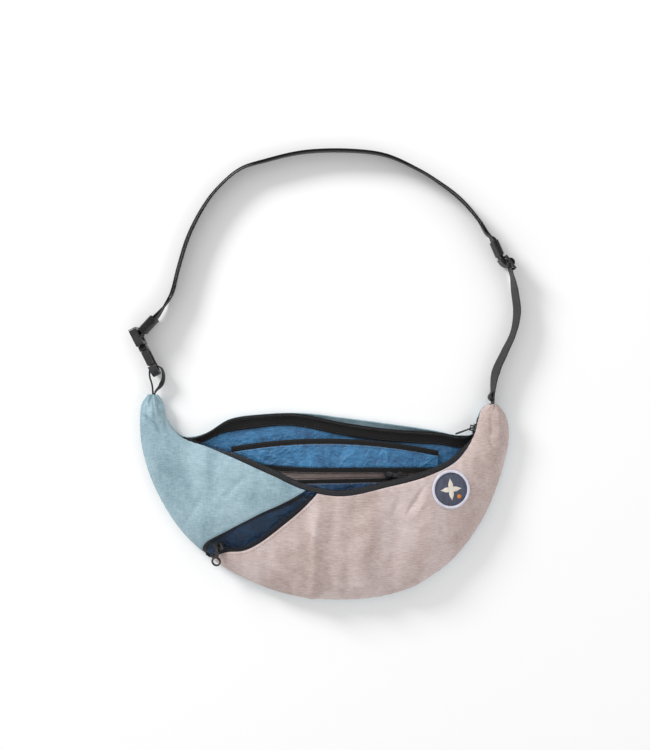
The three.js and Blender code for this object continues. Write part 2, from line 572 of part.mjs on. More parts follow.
const borderRings = Array.from({ length: 32 }, (_, i) => {
  const angle = (i / 32) * Math.PI * 2;
  const out = vec(Math.cos(angle), Math.sin(angle));
  const middle = PATCH_RADIUS - 1.0;
  const { point, normal } = onFront(PATCH_CENTRE[0] + middle * out.x, PATCH_CENTRE[1] + middle * out.y);
  const radial = out.clone().addScaledVector(normal, -out.dot(normal)).normalize();
  const core = point.addScaledVector(normal, GAP + 0.7);
  return Array.from({ length: 6 }, (__, j) => {
    const turn = (j / 6) * Math.PI * 2;
    return core.clone().addScaledVector(radial, 0.9 * Math.cos(turn)).addScaledVector(normal, 0.7 * Math.sin(turn));
  });
});
add('patch_border', loft(borderRings, true), patchWhite);
const patchMiddle = onFront(...PATCH_CENTRE);
const patchFrame = frameAt(
  patchMiddle.point.clone().addScaledVector(patchMiddle.normal, GAP + 0.8 + GAP),
  vec(0.995, 0.1, 0).addScaledVector(patchMiddle.normal, -patchMiddle.normal.x),
  patchMiddle.normal,
);
const star = new THREE.Shape();
const STAR_POINTS = 8;
for (let i = 0; i < STAR_POINTS; i += 1) {
  const radius = i % 2 ? 3.0 : 10.5;
  const angle = (i / STAR_POINTS) * Math.PI * 2 + Math.PI / 2;
  star[i ? 'lineTo' : 'moveTo'](radius * Math.cos(angle), radius * Math.sin(angle));
}
add('patch_star', new THREE.ExtrudeGeometry(star, { depth: 0.5, bevelEnabled: false }), patchCream, patchFrame);
const dot = new THREE.CylinderGeometry(1.7, 1.7, 0.5, 16).rotateX(Math.PI / 2).translate(7.2, -7.2, 0.25);
add('patch_dot', dot, patchOrange, patchFrame);

// ---------------------------------------------------------------- strap hardware frames
const TRIGLIDE_AT = vec(176.8, 229.6);
const triAlong = vec(-0.6, 0.8); // towards the arc of the strap
const triOut = vec(0.8, 0.6); // away from the middle of the arc
const tri = (s, n, z = HARDWARE_LIFT) => {
  const p = TRIGLIDE_AT.clone().addScaledVector(triAlong, s).addScaledVector(triOut, n);
  return [p.x, p.y, z];
};
const HOOK_BAR = vec(-180.4, 158.9);
const STRAP_TO_HOOK = 47; // direction in degrees of the strap as it leaves the bar
const HOOK_DIRECTION = vec(0.451, -0.893);
const around = (centre, radius, degrees, z) => {
  const angle = THREE.MathUtils.degToRad(degrees);
  return [centre.x + radius * Math.cos(angle), centre.y + radius * Math.sin(angle), z];
};

// ---------------------------------------------------------------- shoulder strap
// Middle line of the doubled strap from the tri-glide over the arc to the hook, with the half
// distance between its two layers and how far both lean towards the middle of the arc, in degrees.
const doubled = [
  [157.0, 259.4, 1.0, 6], [149.3, 273.2, 1.1, 10], [130.9, 294.4, 1.3, 11.5], [109.4, 310.8, 1.1, 11.5],
  [90.6, 321.9, 0.9, 10], [59.0, 335.4, 0.9, 8], [23.7, 339.7, 0.9, 7], [-20.9, 338.3, 0.9, 7],
  [-57.3, 330.4, 0.9, 8], [-82.8, 322.4, 0.9, 10], [-105.4, 303.4, 0.9, 11], [-119.1, 285.0, 1.1, 10.5],
  [-133.5, 256.6, 1.3, 10], [-143.1, 225.4, 1.3, 9], [-149.8, 199.3, 1.2, 7],
];
function layer(side, back) {
  const line = new THREE.CatmullRomCurve3(doubled.map(([x, y]) => vec(x, y)));
  const points = doubled.map(([x, y, half, lean], i) => {
    const along = line.getTangent(i / (doubled.length - 1));
    const out = vec(along.y, -along.x).multiplyScalar(side * half);
    return [x + out.x, y + out.y, 0.3, back ? -lean : lean];
  });
  return back ? points.reverse() : points;
}
const BAR_WRAP = 2.9;
const strapPoint = (distance, side) => {
  const angle = THREE.MathUtils.degToRad(STRAP_TO_HOOK);
  const along = vec(Math.cos(angle), Math.sin(angle));
  const p = HOOK_BAR.clone().addScaledVector(along, distance).addScaledVector(vec(-along.y, along.x), side);
  return [p.x, p.y, HARDWARE_LIFT];
};
const wrapAngles = [137, 167, 197, 227, 257, 287, 317];
const strapRoute = [
  [161.6, 91.6, 2.5, 0], [161.4, 95.0, 2.3, 0], [161.4, 104.1, 0.3, -2], [162.3, 124.7, 0.3, -14.5],
  [171.2, 144.5, 0.3, -12], [180.6, 163.6, 0.3, -7.5], [183.4, 183.0, 0.3, -11.5], [181.1, 204.2, 1.0, -10],
  tri(-12, -5.0), tri(-7.2, -3.0), tri(-5.3, -2.4), tri(-4.3, -1.3), tri(-4.0, 0.3), tri(-3.3, 2.4), tri(-1.8, 3.7),
  tri(0, 4.1), tri(1.8, 3.7), tri(3.3, 2.4), tri(4.0, 0.3), tri(4.3, -1.3), tri(5.3, -2.3), tri(7.2, -2.55),
  tri(12, -1.26), tri(19.5, 0.54), tri(27, 2.33),
  ...layer(-1, false),
  strapPoint(26, 1.1), strapPoint(16, 0.9), strapPoint(8, 1.2), strapPoint(3, 2.6),
  ...wrapAngles.map((degrees) => around(HOOK_BAR, BAR_WRAP, degrees, HARDWARE_LIFT)),
  strapPoint(3, -2.6), strapPoint(8, -1.2), strapPoint(16, -0.9), strapPoint(26, -1.1),
  ...layer(1, true),
  tri(27, 0.53), tri(19.5, -1.26), tri(12, -3.06), tri(7.2, -4.1), tri(4.6, -3.9), tri(3.0, -2.6), tri(2.5, -0.6),
  tri(2.2, 1.2), tri(0, 2.5), tri(-2.2, 1.2), tri(-2.5, -0.6), tri(-2.1, -2.3), tri(-1.0, -3.8), tri(1.2, -5.2),
  tri(4.5, -5.7), tri(8, -5.7),
];
add('strap_webbing', webbing(strapRoute, WEB_WIDTH, WEB_THICK, 2), blackWeb);

// Ribbed sleeves that keep the two layers together.
function keeper(length, thick, inner) {
  const outline = roundedRectangle(-thick / 2, thick / 2, 0.6, 25.4, 1.2);
  outline.holes.push(roundedRectangle(-inner / 2, inner / 2, 2.4, 23.6, 0.4, new THREE.Path()));
  return new THREE.ExtrudeGeometry(outline, { depth: length, bevelEnabled: false, curveSegments: 3 })
    .rotateX(Math.PI / 2).translate(0, length / 2, 0);
}
function addKeeper(name, from, to, thick, inner) {
  const mesh = add(name, keeper(Math.hypot(to[0] - from[0], to[1] - from[1]), thick, inner), blackWeb);
  mesh.position.set((from[0] + to[0]) / 2, (from[1] + to[1]) / 2, 0);
  mesh.rotation.z = Math.atan2(to[1] - from[1], to[0] - from[0]) - Math.PI / 2;
}
addKeeper('keeper_left', strapPoint(6.5, 0), strapPoint(24.5, 0), 8.2, 4.8);
addKeeper('keeper_right', tri(10.5, -2.55), tri(25.5, 1.05), 6.4, 4.4);

// Tri-glide: a flat frame on its edge with a sewn centre bar and two outer bars.
const triglideFrame = new THREE.Group();
triglideFrame.position.copy(TRIGLIDE_AT);
triglideFrame.rotation.z = Math.atan2(triAlong.y, triAlong.x);
object.add(triglideFrame);
const TRI_BAR = 1.15;
const TRI_PITCH = 6.9;
const triOutline = roundedRectangle(-TRI_PITCH - TRI_BAR, TRI_PITCH + TRI_BAR, 0, HARDWARE_WIDTH, 1.1);
const slot = (x0, x1) => roundedRectangle(x0, x1, 2.5, HARDWARE_WIDTH - 2.5, 0.5, new THREE.Path());
triOutline.holes.push(slot(-TRI_PITCH + TRI_BAR, -TRI_BAR), slot(TRI_BAR, TRI_PITCH - TRI_BAR));
add('triglide', uprightPlate(triOutline, 2 * TRI_BAR), blackPlastic, triglideFrame);

// ---------------------------------------------------------------- snap hook
const hookFrame = new THREE.Group();
hookFrame.position.copy(HOOK_BAR);
hookFrame.rotation.z = Math.atan2(HOOK_DIRECTION.y, HOOK_DIRECTION.x);
object.add(hookFrame);
const HOOK_THICK = 7.4;
const HOOK_MIDDLE = HARDWARE_WIDTH / 2;
const BASE_END = 9.6;
const POST_RADIUS = 2.0;
const rodX = (x0, x1, radius) => new THREE.CylinderGeometry(radius, radius, x1 - x0, 16)
  .rotateZ(Math.PI / 2).translate((x0 + x1) / 2, 0, HOOK_MIDDLE);
const strapBar = new THREE.CylinderGeometry(2, 2, HARDWARE_WIDTH - 1, 16)
  .rotateX(Math.PI / 2).translate(0, 0, HOOK_MIDDLE);
const baseOutline = roundedRectangle(-8.4, BASE_END, 0, HARDWARE_WIDTH, 2.2);
const baseWindow = box(-5.3, 6.0, -9, 9, 2.6, HARDWARE_WIDTH - 2.6);
const basePlate = cut(uprightPlate(baseOutline, HOOK_THICK), baseWindow);
const baseBody = cut(join(basePlate, strapBar), rodX(5.5, 10.5, POST_RADIUS + 0.4));
add('hook_swivel_base', baseBody, blackPlastic, hookFrame);

const HOOK_START = 10.1;
const hookOutline = new THREE.Shape();
hookOutline.moveTo(HOOK_START, 8).lineTo(14, 2.6).lineTo(33, 2.6);
hookOutline.absarc(33, 11.6, 9, -Math.PI / 2, Math.PI / 2);
hookOutline.lineTo(31.4, 20.6).lineTo(31.4, 17.4).lineTo(33, 16.9);
hookOutline.absarc(33, 11.6, 5.3, Math.PI / 2, -Math.PI / 2, true);
hookOutline.lineTo(19, 6.3).lineTo(17, 8.8).lineTo(17, 13.4);
hookOutline.lineTo(14.6, 13.4).lineTo(14.6, 19.0).lineTo(HOOK_START, 18);
const hookPlate = uprightPlate(hookOutline, HOOK_THICK);
const post = rodX(5.2, 11.5, POST_RADIUS);
const postHead = rodX(4.3, 5.5, POST_RADIUS + 1.0);
add('hook_body', join(hookPlate, post, postHead), blackPlastic, hookFrame);
const gateOutline = new THREE.Shape();
gateOutline.moveTo(15.0, 15.6).lineTo(17.4, 15.6).lineTo(30.5, 17.3).lineTo(30.5, 20.3).lineTo(15.0, 20.3);
add('hook_gate', uprightPlate(gateOutline, HOOK_THICK - 0.8), blackPlastic, hookFrame);

// ---------------------------------------------------------------- left tip loop
const tipLoop = [
  [-167.2, 98.0, 4.5, 0], [-166.4, 104.6, 5.0, 0], [-167.0, 113.0, 7.0, 0], [-169.0, 121.0, 8.2, 0],
  [-168.4, 127.6, 8.3, 0], [-163.2, 131.0, 8.3, 0], [-157.4, 128.6, 8.3, -6], [-154.6, 120.6, 8.2, -20],
  [-156.8, 112.1, 6.5, -30], [-164.4, 104.6, 5.0, 0], [-164.9, 98.0, 4.5, 0],
];
add('left_tip_loop', webbing(tipLoop, LOOP_WIDTH, 1.0, 3), blackWeb);

// ---------------------------------------------------------------- zip stops
function addStop(name, at, alongX, facing, size) {
  const frame = frameAt(at, alongX, facing);
  const [length, width, height] = size;
  add(name, box(-length / 2, length / 2, -width / 2, width / 2, -height / 2, height / 2), blackMetal, frame);
}
const stopStation = ZIP_LAST + 0.02;
addStop('main_zip_bottom_stop', chainPoint(stopStation), mainOpenWay, mainFacing, [2.2, 4, 2.4]);
const topStopWay = backCoilPoint(0.02).sub(backCoilPoint(0)).normalize();
const topStopAt = backCoilPoint(0).addScaledVector(topStopWay, -1.6);
addStop('main_zip_top_stop_back', topStopAt, topStopWay, UP, [2, 2, 2.2]);
const frontStopWay = frontCoilPoint(0.02).sub(frontCoilPoint(0)).normalize();
const frontStopAt = frontCoilPoint(0).addScaledVector(frontStopWay, -1.5);
addStop('main_zip_top_stop_front', frontStopAt, frontStopWay, UP, [1.8, 2, 1.8]);
const lowEnd = slitMiddle(POCKET_ZIP_LOW - 0.035);
const lowNormal = pinkSlit(POCKET_ZIP_LOW).normal;
const lowWay = slitMiddle(POCKET_ZIP_LOW).sub(slitMiddle(POCKET_ZIP_LOW - 0.05));
addStop('pocket_zip_bottom_stop', lowEnd.addScaledVector(lowNormal, -CLOTH / 2), lowWay, lowNormal, [2, 5, 2]);

export default object;
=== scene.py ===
"""Looks of a crescent hip bag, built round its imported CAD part.

Shapes are worked out in millimetres and turned into metres as each mesh is made.
+Z is up out of the front of the bag, +Y points towards the strap.
"""

import math

import bmesh
import bpy
import numpy as np
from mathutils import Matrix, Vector


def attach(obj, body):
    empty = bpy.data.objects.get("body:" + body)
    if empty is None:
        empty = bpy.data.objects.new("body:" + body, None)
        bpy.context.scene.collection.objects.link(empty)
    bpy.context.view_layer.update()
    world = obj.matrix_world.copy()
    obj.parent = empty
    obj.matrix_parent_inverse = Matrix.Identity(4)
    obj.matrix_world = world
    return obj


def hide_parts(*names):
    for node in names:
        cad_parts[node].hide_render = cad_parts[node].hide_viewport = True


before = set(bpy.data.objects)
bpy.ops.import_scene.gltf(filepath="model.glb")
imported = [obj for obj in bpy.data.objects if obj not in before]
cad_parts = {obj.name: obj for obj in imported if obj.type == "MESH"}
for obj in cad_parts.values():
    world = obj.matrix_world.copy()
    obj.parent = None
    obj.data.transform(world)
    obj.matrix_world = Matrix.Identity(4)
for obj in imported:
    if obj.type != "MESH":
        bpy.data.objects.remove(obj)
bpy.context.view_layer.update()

MM = 0.001
add_to_scene = bpy.context.scene.collection.objects.link

# ------ driving dimensions (mm)
CLOTH = 1.2
LINING = 0.7
GAP = 0.4
EDGE_GAP = 0.3
WEB_WIDTH = 20
WEB_THICK = 1.2
LOOP_WIDTH = 6.5
CORNER = 9
TAPE = 0.7
HARDWARE_LIFT = 3
FLAT_FROM, FLAT_TO = 3 / 7, 4 / 7  # share of the way up the back panel that lies on the ground
PATCH_CENTRE = (119, 13.7)
PATCH_RADIUS = 18

# Cross-sections from the left tip, along the bottom of the crescent, to the right tip:
# seam, top edge of the back, top edge of the front, crown of the cloth, 1 where it is a closed tube.
STATIONS = [
    ((-171, 103.4, 9), (-161.4, 103.2, 9), (-161.4, 103.2, 9), 8, 1),
    ((-176.8, 94.5, 9), (-155.9, 94.5, 9), (-155.9, 94.5, 9), 9, 1),
    ((-178.6, 78.1, 9), (-152.2, 78.6, 9), (-152.2, 78.6, 9), 10, 1),
    ((-176.2, 50.1, 9), (-137.6, 62.8, 5.4), (-137.4, 62.4, 15.6), 9, 0.9),
    ((-163.6, 12.4, 9), (-116.4, 65.5, 6), (-113.2, 53.7, 20), 6, 0.4),
    ((-138.5, -28.1, 9), (-92.4, 79.4, 5.5), (-83.8, 42, 30), 3, 0.1),
    ((-97, -63.8, 9), (-60.6, 84.2, 5), (-50.4, 27.4, 36), 2, 0),
    ((-41, -88, 9), (-21.8, 85.2, 5), (-18.3, 13.5, 38.5), 2, 0),
    ((14, -94.7, 9), (17, 80.8, 5), (16.4, 7.9, 39), 2, 0),
    ((68.1, -88, 9), (60.6, 75, 5), (58.7, 16.3, 38), 2, 0),
    ((116.3, -61.9, 9), (101.2, 69.2, 5.5), (96.7, 26.3, 34), 3, 0.1),
    ((150.1, -20.4, 9), (131, 63.5, 5.5), (126, 40.7, 25), 6, 0.4),
    ((170.4, 27.9, 9), (143.4, 65.5, 4.4), (142.9, 64.2, 16.4), 9, 0.9),
    ((177.6, 63.6, 9.5), (147.2, 79, 5.2), (147.2, 79, 14.4), 10, 1),
    ((174.4, 82.9, 10.5), (151.2, 89.6, 10.5), (151.2, 89.6, 10.5), 12.5, 1),
    ((166, 93.9, 11.5), (157.3, 94.4, 11.5), (157.3, 94.4, 11.5), 13, 1),
]
LAST = len(STATIONS) - 1
# Edges of the front panels at the pocket zip: share of the way up, station.
AQUA_EDGE = [(0, 5.53), (0.3, 5.5), (0.55, 5.74), (0.75, 6.12), (0.87, 6.5), (1, 7.0)]
PINK_EDGE = [(0, 5.76), (0.3, 5.83), (0.48, 6.2), (0.75, 6.68), (1, 7.33)]
UP = np.array([0.0, 0.0, 1.0])

COIL_PITCH = 1.35
COIL_STEPS = 10  # points in each turn of a coil
MAIN_COIL, POCKET_COIL, INNER_COIL = (0.8, 0.75, 0.28), (0.6, 0.56, 0.22), (0.54, 0.5, 0.2)  # half sizes, wire
# One stitch from end to end: share of its length, girth, rise off the cloth in thread radii.
STITCH_PROFILE = [
    (0, 0.25, -0.5), (0.08, 0.8, 0.1), (0.25, 1, 0.5), (0.5, 1, 0.65),
    (0.75, 1, 0.5), (0.92, 0.8, 0.1), (1, 0.25, -0.5),
]
STITCH_SIDES = 6
STITCH_STEP = 0.4  # distance over which a stitch's heading is measured

FLAT_ANGLE, SHARP_ANGLE, SMOOTH_ANGLE = (math.radians(degrees) for degrees in (2, 28, 40))


# ------ curves and noise
def unit(vectors):
    return vectors / np.maximum(np.linalg.norm(vectors, axis=-1, keepdims=True), 1e-9)


def smoothstep(value, low, high):
    t = np.clip((value - low) / (high - low), 0, 1)
    return t * t * (3 - 2 * t)


def lerp(a, b, t):
    return a + (b - a) * t


def spline(points, u):
    """Centripetal Catmull-Rom curve through the points, at u from 0 to 1."""
    points = np.asarray(points, float)
    at = np.clip(np.asarray(u, float), 0, 1) * (len(points) - 1)
    i = np.minimum(at.astype(int), len(points) - 2)
    t = (at - i)[..., None]
    ends = [2 * points[0] - points[1], points, 2 * points[-1] - points[-2]]
    p0, p1, p2, p3 = (np.vstack(ends)[i + k] for k in range(4))
    d0, d1, d2 = (
        np.maximum(np.sqrt(np.linalg.norm(b - a, axis=-1, keepdims=True)), 1e-3)
        for a, b in ((p0, p1), (p1, p2), (p2, p3))
    )
    leave = ((p1 - p0) / d0 - (p2 - p0) / (d0 + d1) + (p2 - p1) / d1) * d1
    arrive = ((p2 - p1) / d1 - (p3 - p1) / (d1 + d2) + (p3 - p2) / d2) * d1
    square = -3 * p1 + 3 * p2 - 2 * leave - arrive
    cube = 2 * p1 - 2 * p2 + leave + arrive
    return p1 + leave * t + square * t**2 + cube * t**3


def noise(x, y, size, seed):
    """Smooth random height from -1 to 1, with bumps about size apart."""
    lattice = np.random.default_rng(seed).uniform(-1, 1, (97, 97))
    x, y = np.asarray(x) / size + 48, np.asarray(y) / size + 48
    i, j = np.floor(x).astype(int), np.floor(y).astype(int)
    s, t = smoothstep(x - i, 0, 1), smoothstep(y - j, 0, 1)
    i, j = i % 96, j % 96
    low = lerp(lattice[i, j], lattice[i + 1, j], s)
    high = lerp(lattice[i, j + 1], lattice[i + 1, j + 1], s)
    return lerp(low, high, t)


def crumple(x, y, size, seed):
    """Sharp random ridges from 0 to 1, as thin nylon creases."""
    bent_x = x + 0.4 * size * noise(x, y, size * 1.3, seed + 5)
    bent_y = y + 0.4 * size * noise(x, y, size * 1.3, seed + 6)
    wide = 1 - np.abs(noise(bent_x, bent_y, size, seed))
    fine = 1 - np.abs(noise(bent_x, bent_y, size * 0.45, seed + 1))
    return 0.7 * wide**2 + 0.3 * fine**2


def distances(points):
    steps = np.linalg.norm(np.diff(points, axis=0), axis=1)
    return np.concatenate([[0], np.cumsum(steps)])


def at_distances(values, along, wanted):
    """Rows of values, known at the distances along, read off at the wanted distances."""
    return np.stack([np.interp(wanted, along, column) for column in values.T], -1)


# ------ shape of the bag
SEAM, RIM, MOUTH = (np.array([row[k] for row in STATIONS], float) for k in range(3))
FULLNESS = np.array([(row[3], row[4], 0) for row in STATIONS], float)


def front_point(station, v):
    """The front of the bag: v is 0 at the seam and 1 at the mouth or, in a horn, at the rim."""
    u = np.asarray(station) / LAST
    seam, mouth, full = spline(SEAM, u), spline(MOUTH, u), spline(FULLNESS, u)
    crown, horn = full[..., 0], full[..., 1]
    opened = 1 - np.cos(v * np.pi / 2)
    closed = (1 - np.cos(v * np.pi)) / 2
    point = lerp(seam, mouth, lerp(opened, closed, horn)[..., None])
    rise = (mouth[..., 2] - seam[..., 2]) * np.sin(v * np.pi / 2)
    point[..., 2] = seam[..., 2] + EDGE_GAP + rise + crown * np.sin(v * np.pi)
    return point


def front_normal(station, v):
    """The way out of the front of the bag."""
    h = 0.01
    s0, s1 = np.maximum(0, station - h), np.minimum(LAST, station + h)
    v0, v1 = np.maximum(0, v - h), np.minimum(1, v + h)
    across = front_point(s1, v) - front_point(s0, v)
    upward = front_point(station, v1) - front_point(station, v0)
    return unit(np.cross(across, upward))


def back_point(station, v):
    """Up from the seam: round the corner, flat along the ground, then up to the rim."""
    u = np.asarray(station) / LAST
    seam, rim = spline(SEAM, u), spline(RIM, u)
    span = np.linalg.norm((rim - seam)[..., :2], axis=-1)
    corner = np.minimum(CORNER, span / 2) / span
    turn_in = np.clip(v * 7 / 3, 0, 1) * np.pi / 2
    turn_up = np.clip((v * 7 - 4) / 3, 0, 1) * np.pi / 2
    along = lerp(corner, 1 - corner, np.clip(v * 7 - 3, 0, 1))
    along = along - corner * np.cos(turn_in) * (v < FLAT_FROM) + corner * np.sin(turn_up)
    low = (seam[..., 2] - EDGE_GAP) * (1 - np.sin(turn_in))
    high = (rim[..., 2] - EDGE_GAP) * (1 - np.cos(turn_up))
    point = lerp(seam, rim, along[..., None])
    point[..., 2] = np.where(v < FLAT_FROM, low, high)
    return point


def edge_station(edge):
    curve = spline([(v, station, 0) for v, station in edge], np.linspace(0, 1, 81))
    return lambda v: np.interp(v, curve[:, 0], curve[:, 1])


aqua_station = edge_station(AQUA_EDGE)
pink_station = edge_station(PINK_EDGE)


def place_mesh(mesh, finish, body, nodes):
    """The object for a mesh: it rides on a body and stands for some CAD nodes."""
    mesh.materials.append(finish)
    piece = bpy.data.objects.new(mesh.name, mesh)
    add_to_scene(piece)
    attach(piece, body)
    if nodes:
        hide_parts(*nodes)


def make_piece(name, vertices, faces, finish, body="root", nodes=(), uv=None):
    """A smooth mesh from vertices in millimetres; uv is in millimetres along and across it."""
    mesh = bpy.data.meshes.new(name)
    mesh.from_pydata((np.asarray(vertices) * MM).tolist(), [], faces)
    if uv is not None:
        layer = mesh.uv_layers.new(name="weave")
        loops = np.zeros(len(mesh.loops), int)
        mesh.loops.foreach_get("vertex_index", loops)
        layer.data.foreach_set("uv", (np.asarray(uv)[loops] * MM).ravel())
    work = bmesh.new()
    work.from_mesh(mesh)
    bmesh.ops.recalc_face_normals(work, faces=work.faces)
    work.to_mesh(mesh)
    work.free()
    mesh.shade_smooth()
    place_mesh(mesh, finish, body, nodes)


def grid_normals(points):
    across, upward = np.gradient(points, axis=0), np.gradient(points, axis=1)
    return unit(np.cross(across, upward))


def four_sided(*corners):
    """Faces from four grids of vertex numbers."""
    return np.stack(corners, -1).reshape(-1, 4)


def sheet(name, points, low, high, finish, node, height=0):
    """Closed sheet of cloth with rounded edges over a grid of points.

    It lies from low to high along the normals, lifted everywhere by height.
    """
    normals = grid_normals(points)
    rows, columns = points.shape[:2]
    from_end, from_side = (np.minimum(np.arange(n), np.arange(n)[::-1]) for n in (rows, columns))
    edge = np.minimum(np.minimum(from_end[:, None], from_side), 2)
    half = (high - low) / 2 * np.choose(edge, [0.35, 0.85, 1.0])
    lift = np.broadcast_to((low + high) / 2 + height, (rows, columns))
    middle = points + normals * lift[..., None]
    top = middle + normals * half[..., None]
    bottom = middle - normals * half[..., None]
    along = distances(points[:, columns // 2])
    over = distances(points[rows // 2])
    uv = np.stack(np.meshgrid(along, over, indexing="ij"), -1).reshape(-1, 2)
    index = np.arange(rows * columns).reshape(rows, columns)
    count = rows * columns
    quads = four_sided(index[:-1, :-1], index[1:, :-1], index[1:, 1:], index[:-1, 1:])
    rim = np.concatenate([index[:-1, 0], index[-1, :-1], index[:0:-1, -1], index[0, :0:-1]])
    following = np.roll(rim, -1)
    sides = four_sided(following, rim, rim + count, following + count)
    faces = np.vstack([quads, quads[:, ::-1] + count, sides]).tolist()
    vertices = np.vstack([top.reshape(-1, 3), bottom.reshape(-1, 3)])
    make_piece(name, vertices, faces, finish, nodes=[node], uv=np.vstack([uv, uv]))


def tube(rings, closed=False):
    """Vertices and faces of a body lofted through rings of points."""
    count, size = rings.shape[:2]
    index = np.arange(count * size).reshape(count, size)
    here = index if closed else index[:-1]
    ahead = np.roll(index, -1, axis=0) if closed else index[1:]
    faces = four_sided(here, ahead, np.roll(ahead, -1, axis=1), np.roll(here, -1, axis=1)).tolist()
    if not closed:
        faces += [index[0].tolist(), index[-1][::-1].tolist()]
    return rings.reshape(-1, 3), faces


def rings_round(centre, first, second, sides):
    """A ring of points round each centre; two vectors give its radii."""
    turn = (np.arange(sides) / sides * 2 * np.pi)[None, :, None]
    return centre[:, None] + np.cos(turn) * first[:, None] + np.sin(turn) * second[:, None]


def squared_ring(sides, power):
    """Angles, cosines and sines round a square with rounded corners."""
    turn = (np.arange(sides) + 0.5) / sides * 2 * np.pi
    cosine, sine = (np.sign(w) * np.abs(w) ** power for w in (np.cos(turn), np.sin(turn)))
    return turn, cosine, sine


def grid(surface, across, up, start=0):
    """A surface's points at equal steps; its second share runs from start to 1."""
    first, second = np.linspace(0, 1, across + 1), np.linspace(start, 1, up + 1)
    return surface(*np.meshgrid(first, second, indexing="ij"))


def coil(name, centre, normal, node, wide, tall, wire):
    """Helical zip coil round a centre line."""
    reach = distances(centre)
    turns = int(reach[-1] / COIL_PITCH)
    wanted = np.linspace(0, reach[-1], turns * COIL_STEPS + 1)
    centre, normal = at_distances(centre, reach, wanted), at_distances(normal, reach, wanted)
    along = unit(np.gradient(centre, axis=0))
    normal = unit(normal - along * np.sum(normal * along, axis=1, keepdims=True))
    across = np.cross(along, normal)
    angle = np.linspace(0, turns * 2 * np.pi, len(centre))[:, None]
    path = centre + across * wide * np.cos(angle) + normal * tall * np.sin(angle)
    heading = unit(np.gradient(path, axis=0))
    outward = unit(path - centre)
    outward = unit(outward - heading * np.sum(outward * heading, axis=1, keepdims=True))
    beside = np.cross(heading, outward)
    make_piece(name, *tube(rings_round(path, outward * wire, beside * wire, 5)), COIL_BLACK, nodes=[node])


def stitches(name, path, normal, finish, length=2.2, gap=1.0, radius=0.22):
    """A row of sewn stitches lying on a surface along a path."""
    along = distances(path)
    count = max(2, int(along[-1] / (length + gap)))
    shares, girth, lift = np.array(STITCH_PROFILE).T
    starts = np.arange(count) * (length + gap) + gap / 2
    wanted = (starts[:, None] + shares[None] * length).ravel()
    up = unit(at_distances(normal, along, wanted))
    behind, before = (at_distances(path, along, wanted + step) for step in (-STITCH_STEP, STITCH_STEP))
    ahead = unit(before - behind)
    side = np.cross(up, ahead)
    size = np.tile(girth, count)[:, None] * radius
    centre = at_distances(path, along, wanted) + up * np.tile(lift * radius, count)[:, None]
    rings = rings_round(centre, side * size, up * size, STITCH_SIDES)
    samples = len(shares)
    vertices, faces = [], []
    for k in range(count):
        points, one_stitch = tube(rings[k * samples : (k + 1) * samples])
        shift = k * samples * STITCH_SIDES
        vertices.append(points)
        faces += [[i + shift for i in face] for face in one_stitch]
    make_piece(name, np.vstack(vertices), faces, finish)


def softened(node, finish, width, body, segments=2):
    """A copy of a hard CAD node with its sharp edges rounded over by a width."""
    work = bmesh.new()
    work.from_mesh(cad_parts[node].data)
    bmesh.ops.remove_doubles(work, verts=work.verts, dist=1e-6)
    bmesh.ops.dissolve_limit(work, angle_limit=FLAT_ANGLE, verts=work.verts, edges=work.edges)
    sharp = [e for e in work.edges if len(e.link_faces) == 2 and e.calc_face_angle() > SHARP_ANGLE]
    size = dict(offset=width * MM, segments=segments, profile=0.6)
    bmesh.ops.bevel(work, geom=sharp, affect="EDGES", clamp_overlap=True, **size)
    mesh = bpy.data.meshes.new(node + "_finished")
    work.to_mesh(mesh)
    work.free()
    mesh.shade_smooth()
    mesh.set_sharp_from_angle(angle=SMOOTH_ANGLE)
    place_mesh(mesh, finish, body, [node])


# ------ materials
def linear(display):
    """Linear colour from red, green and blue display values from 0 to 255."""
    darkest, straight = 10, 3294  # the display curve is a straight line up to the first
    return *(((c / 255 + 0.055) / 1.055) ** 2.4 if c > darkest else c / straight for c in display), 1


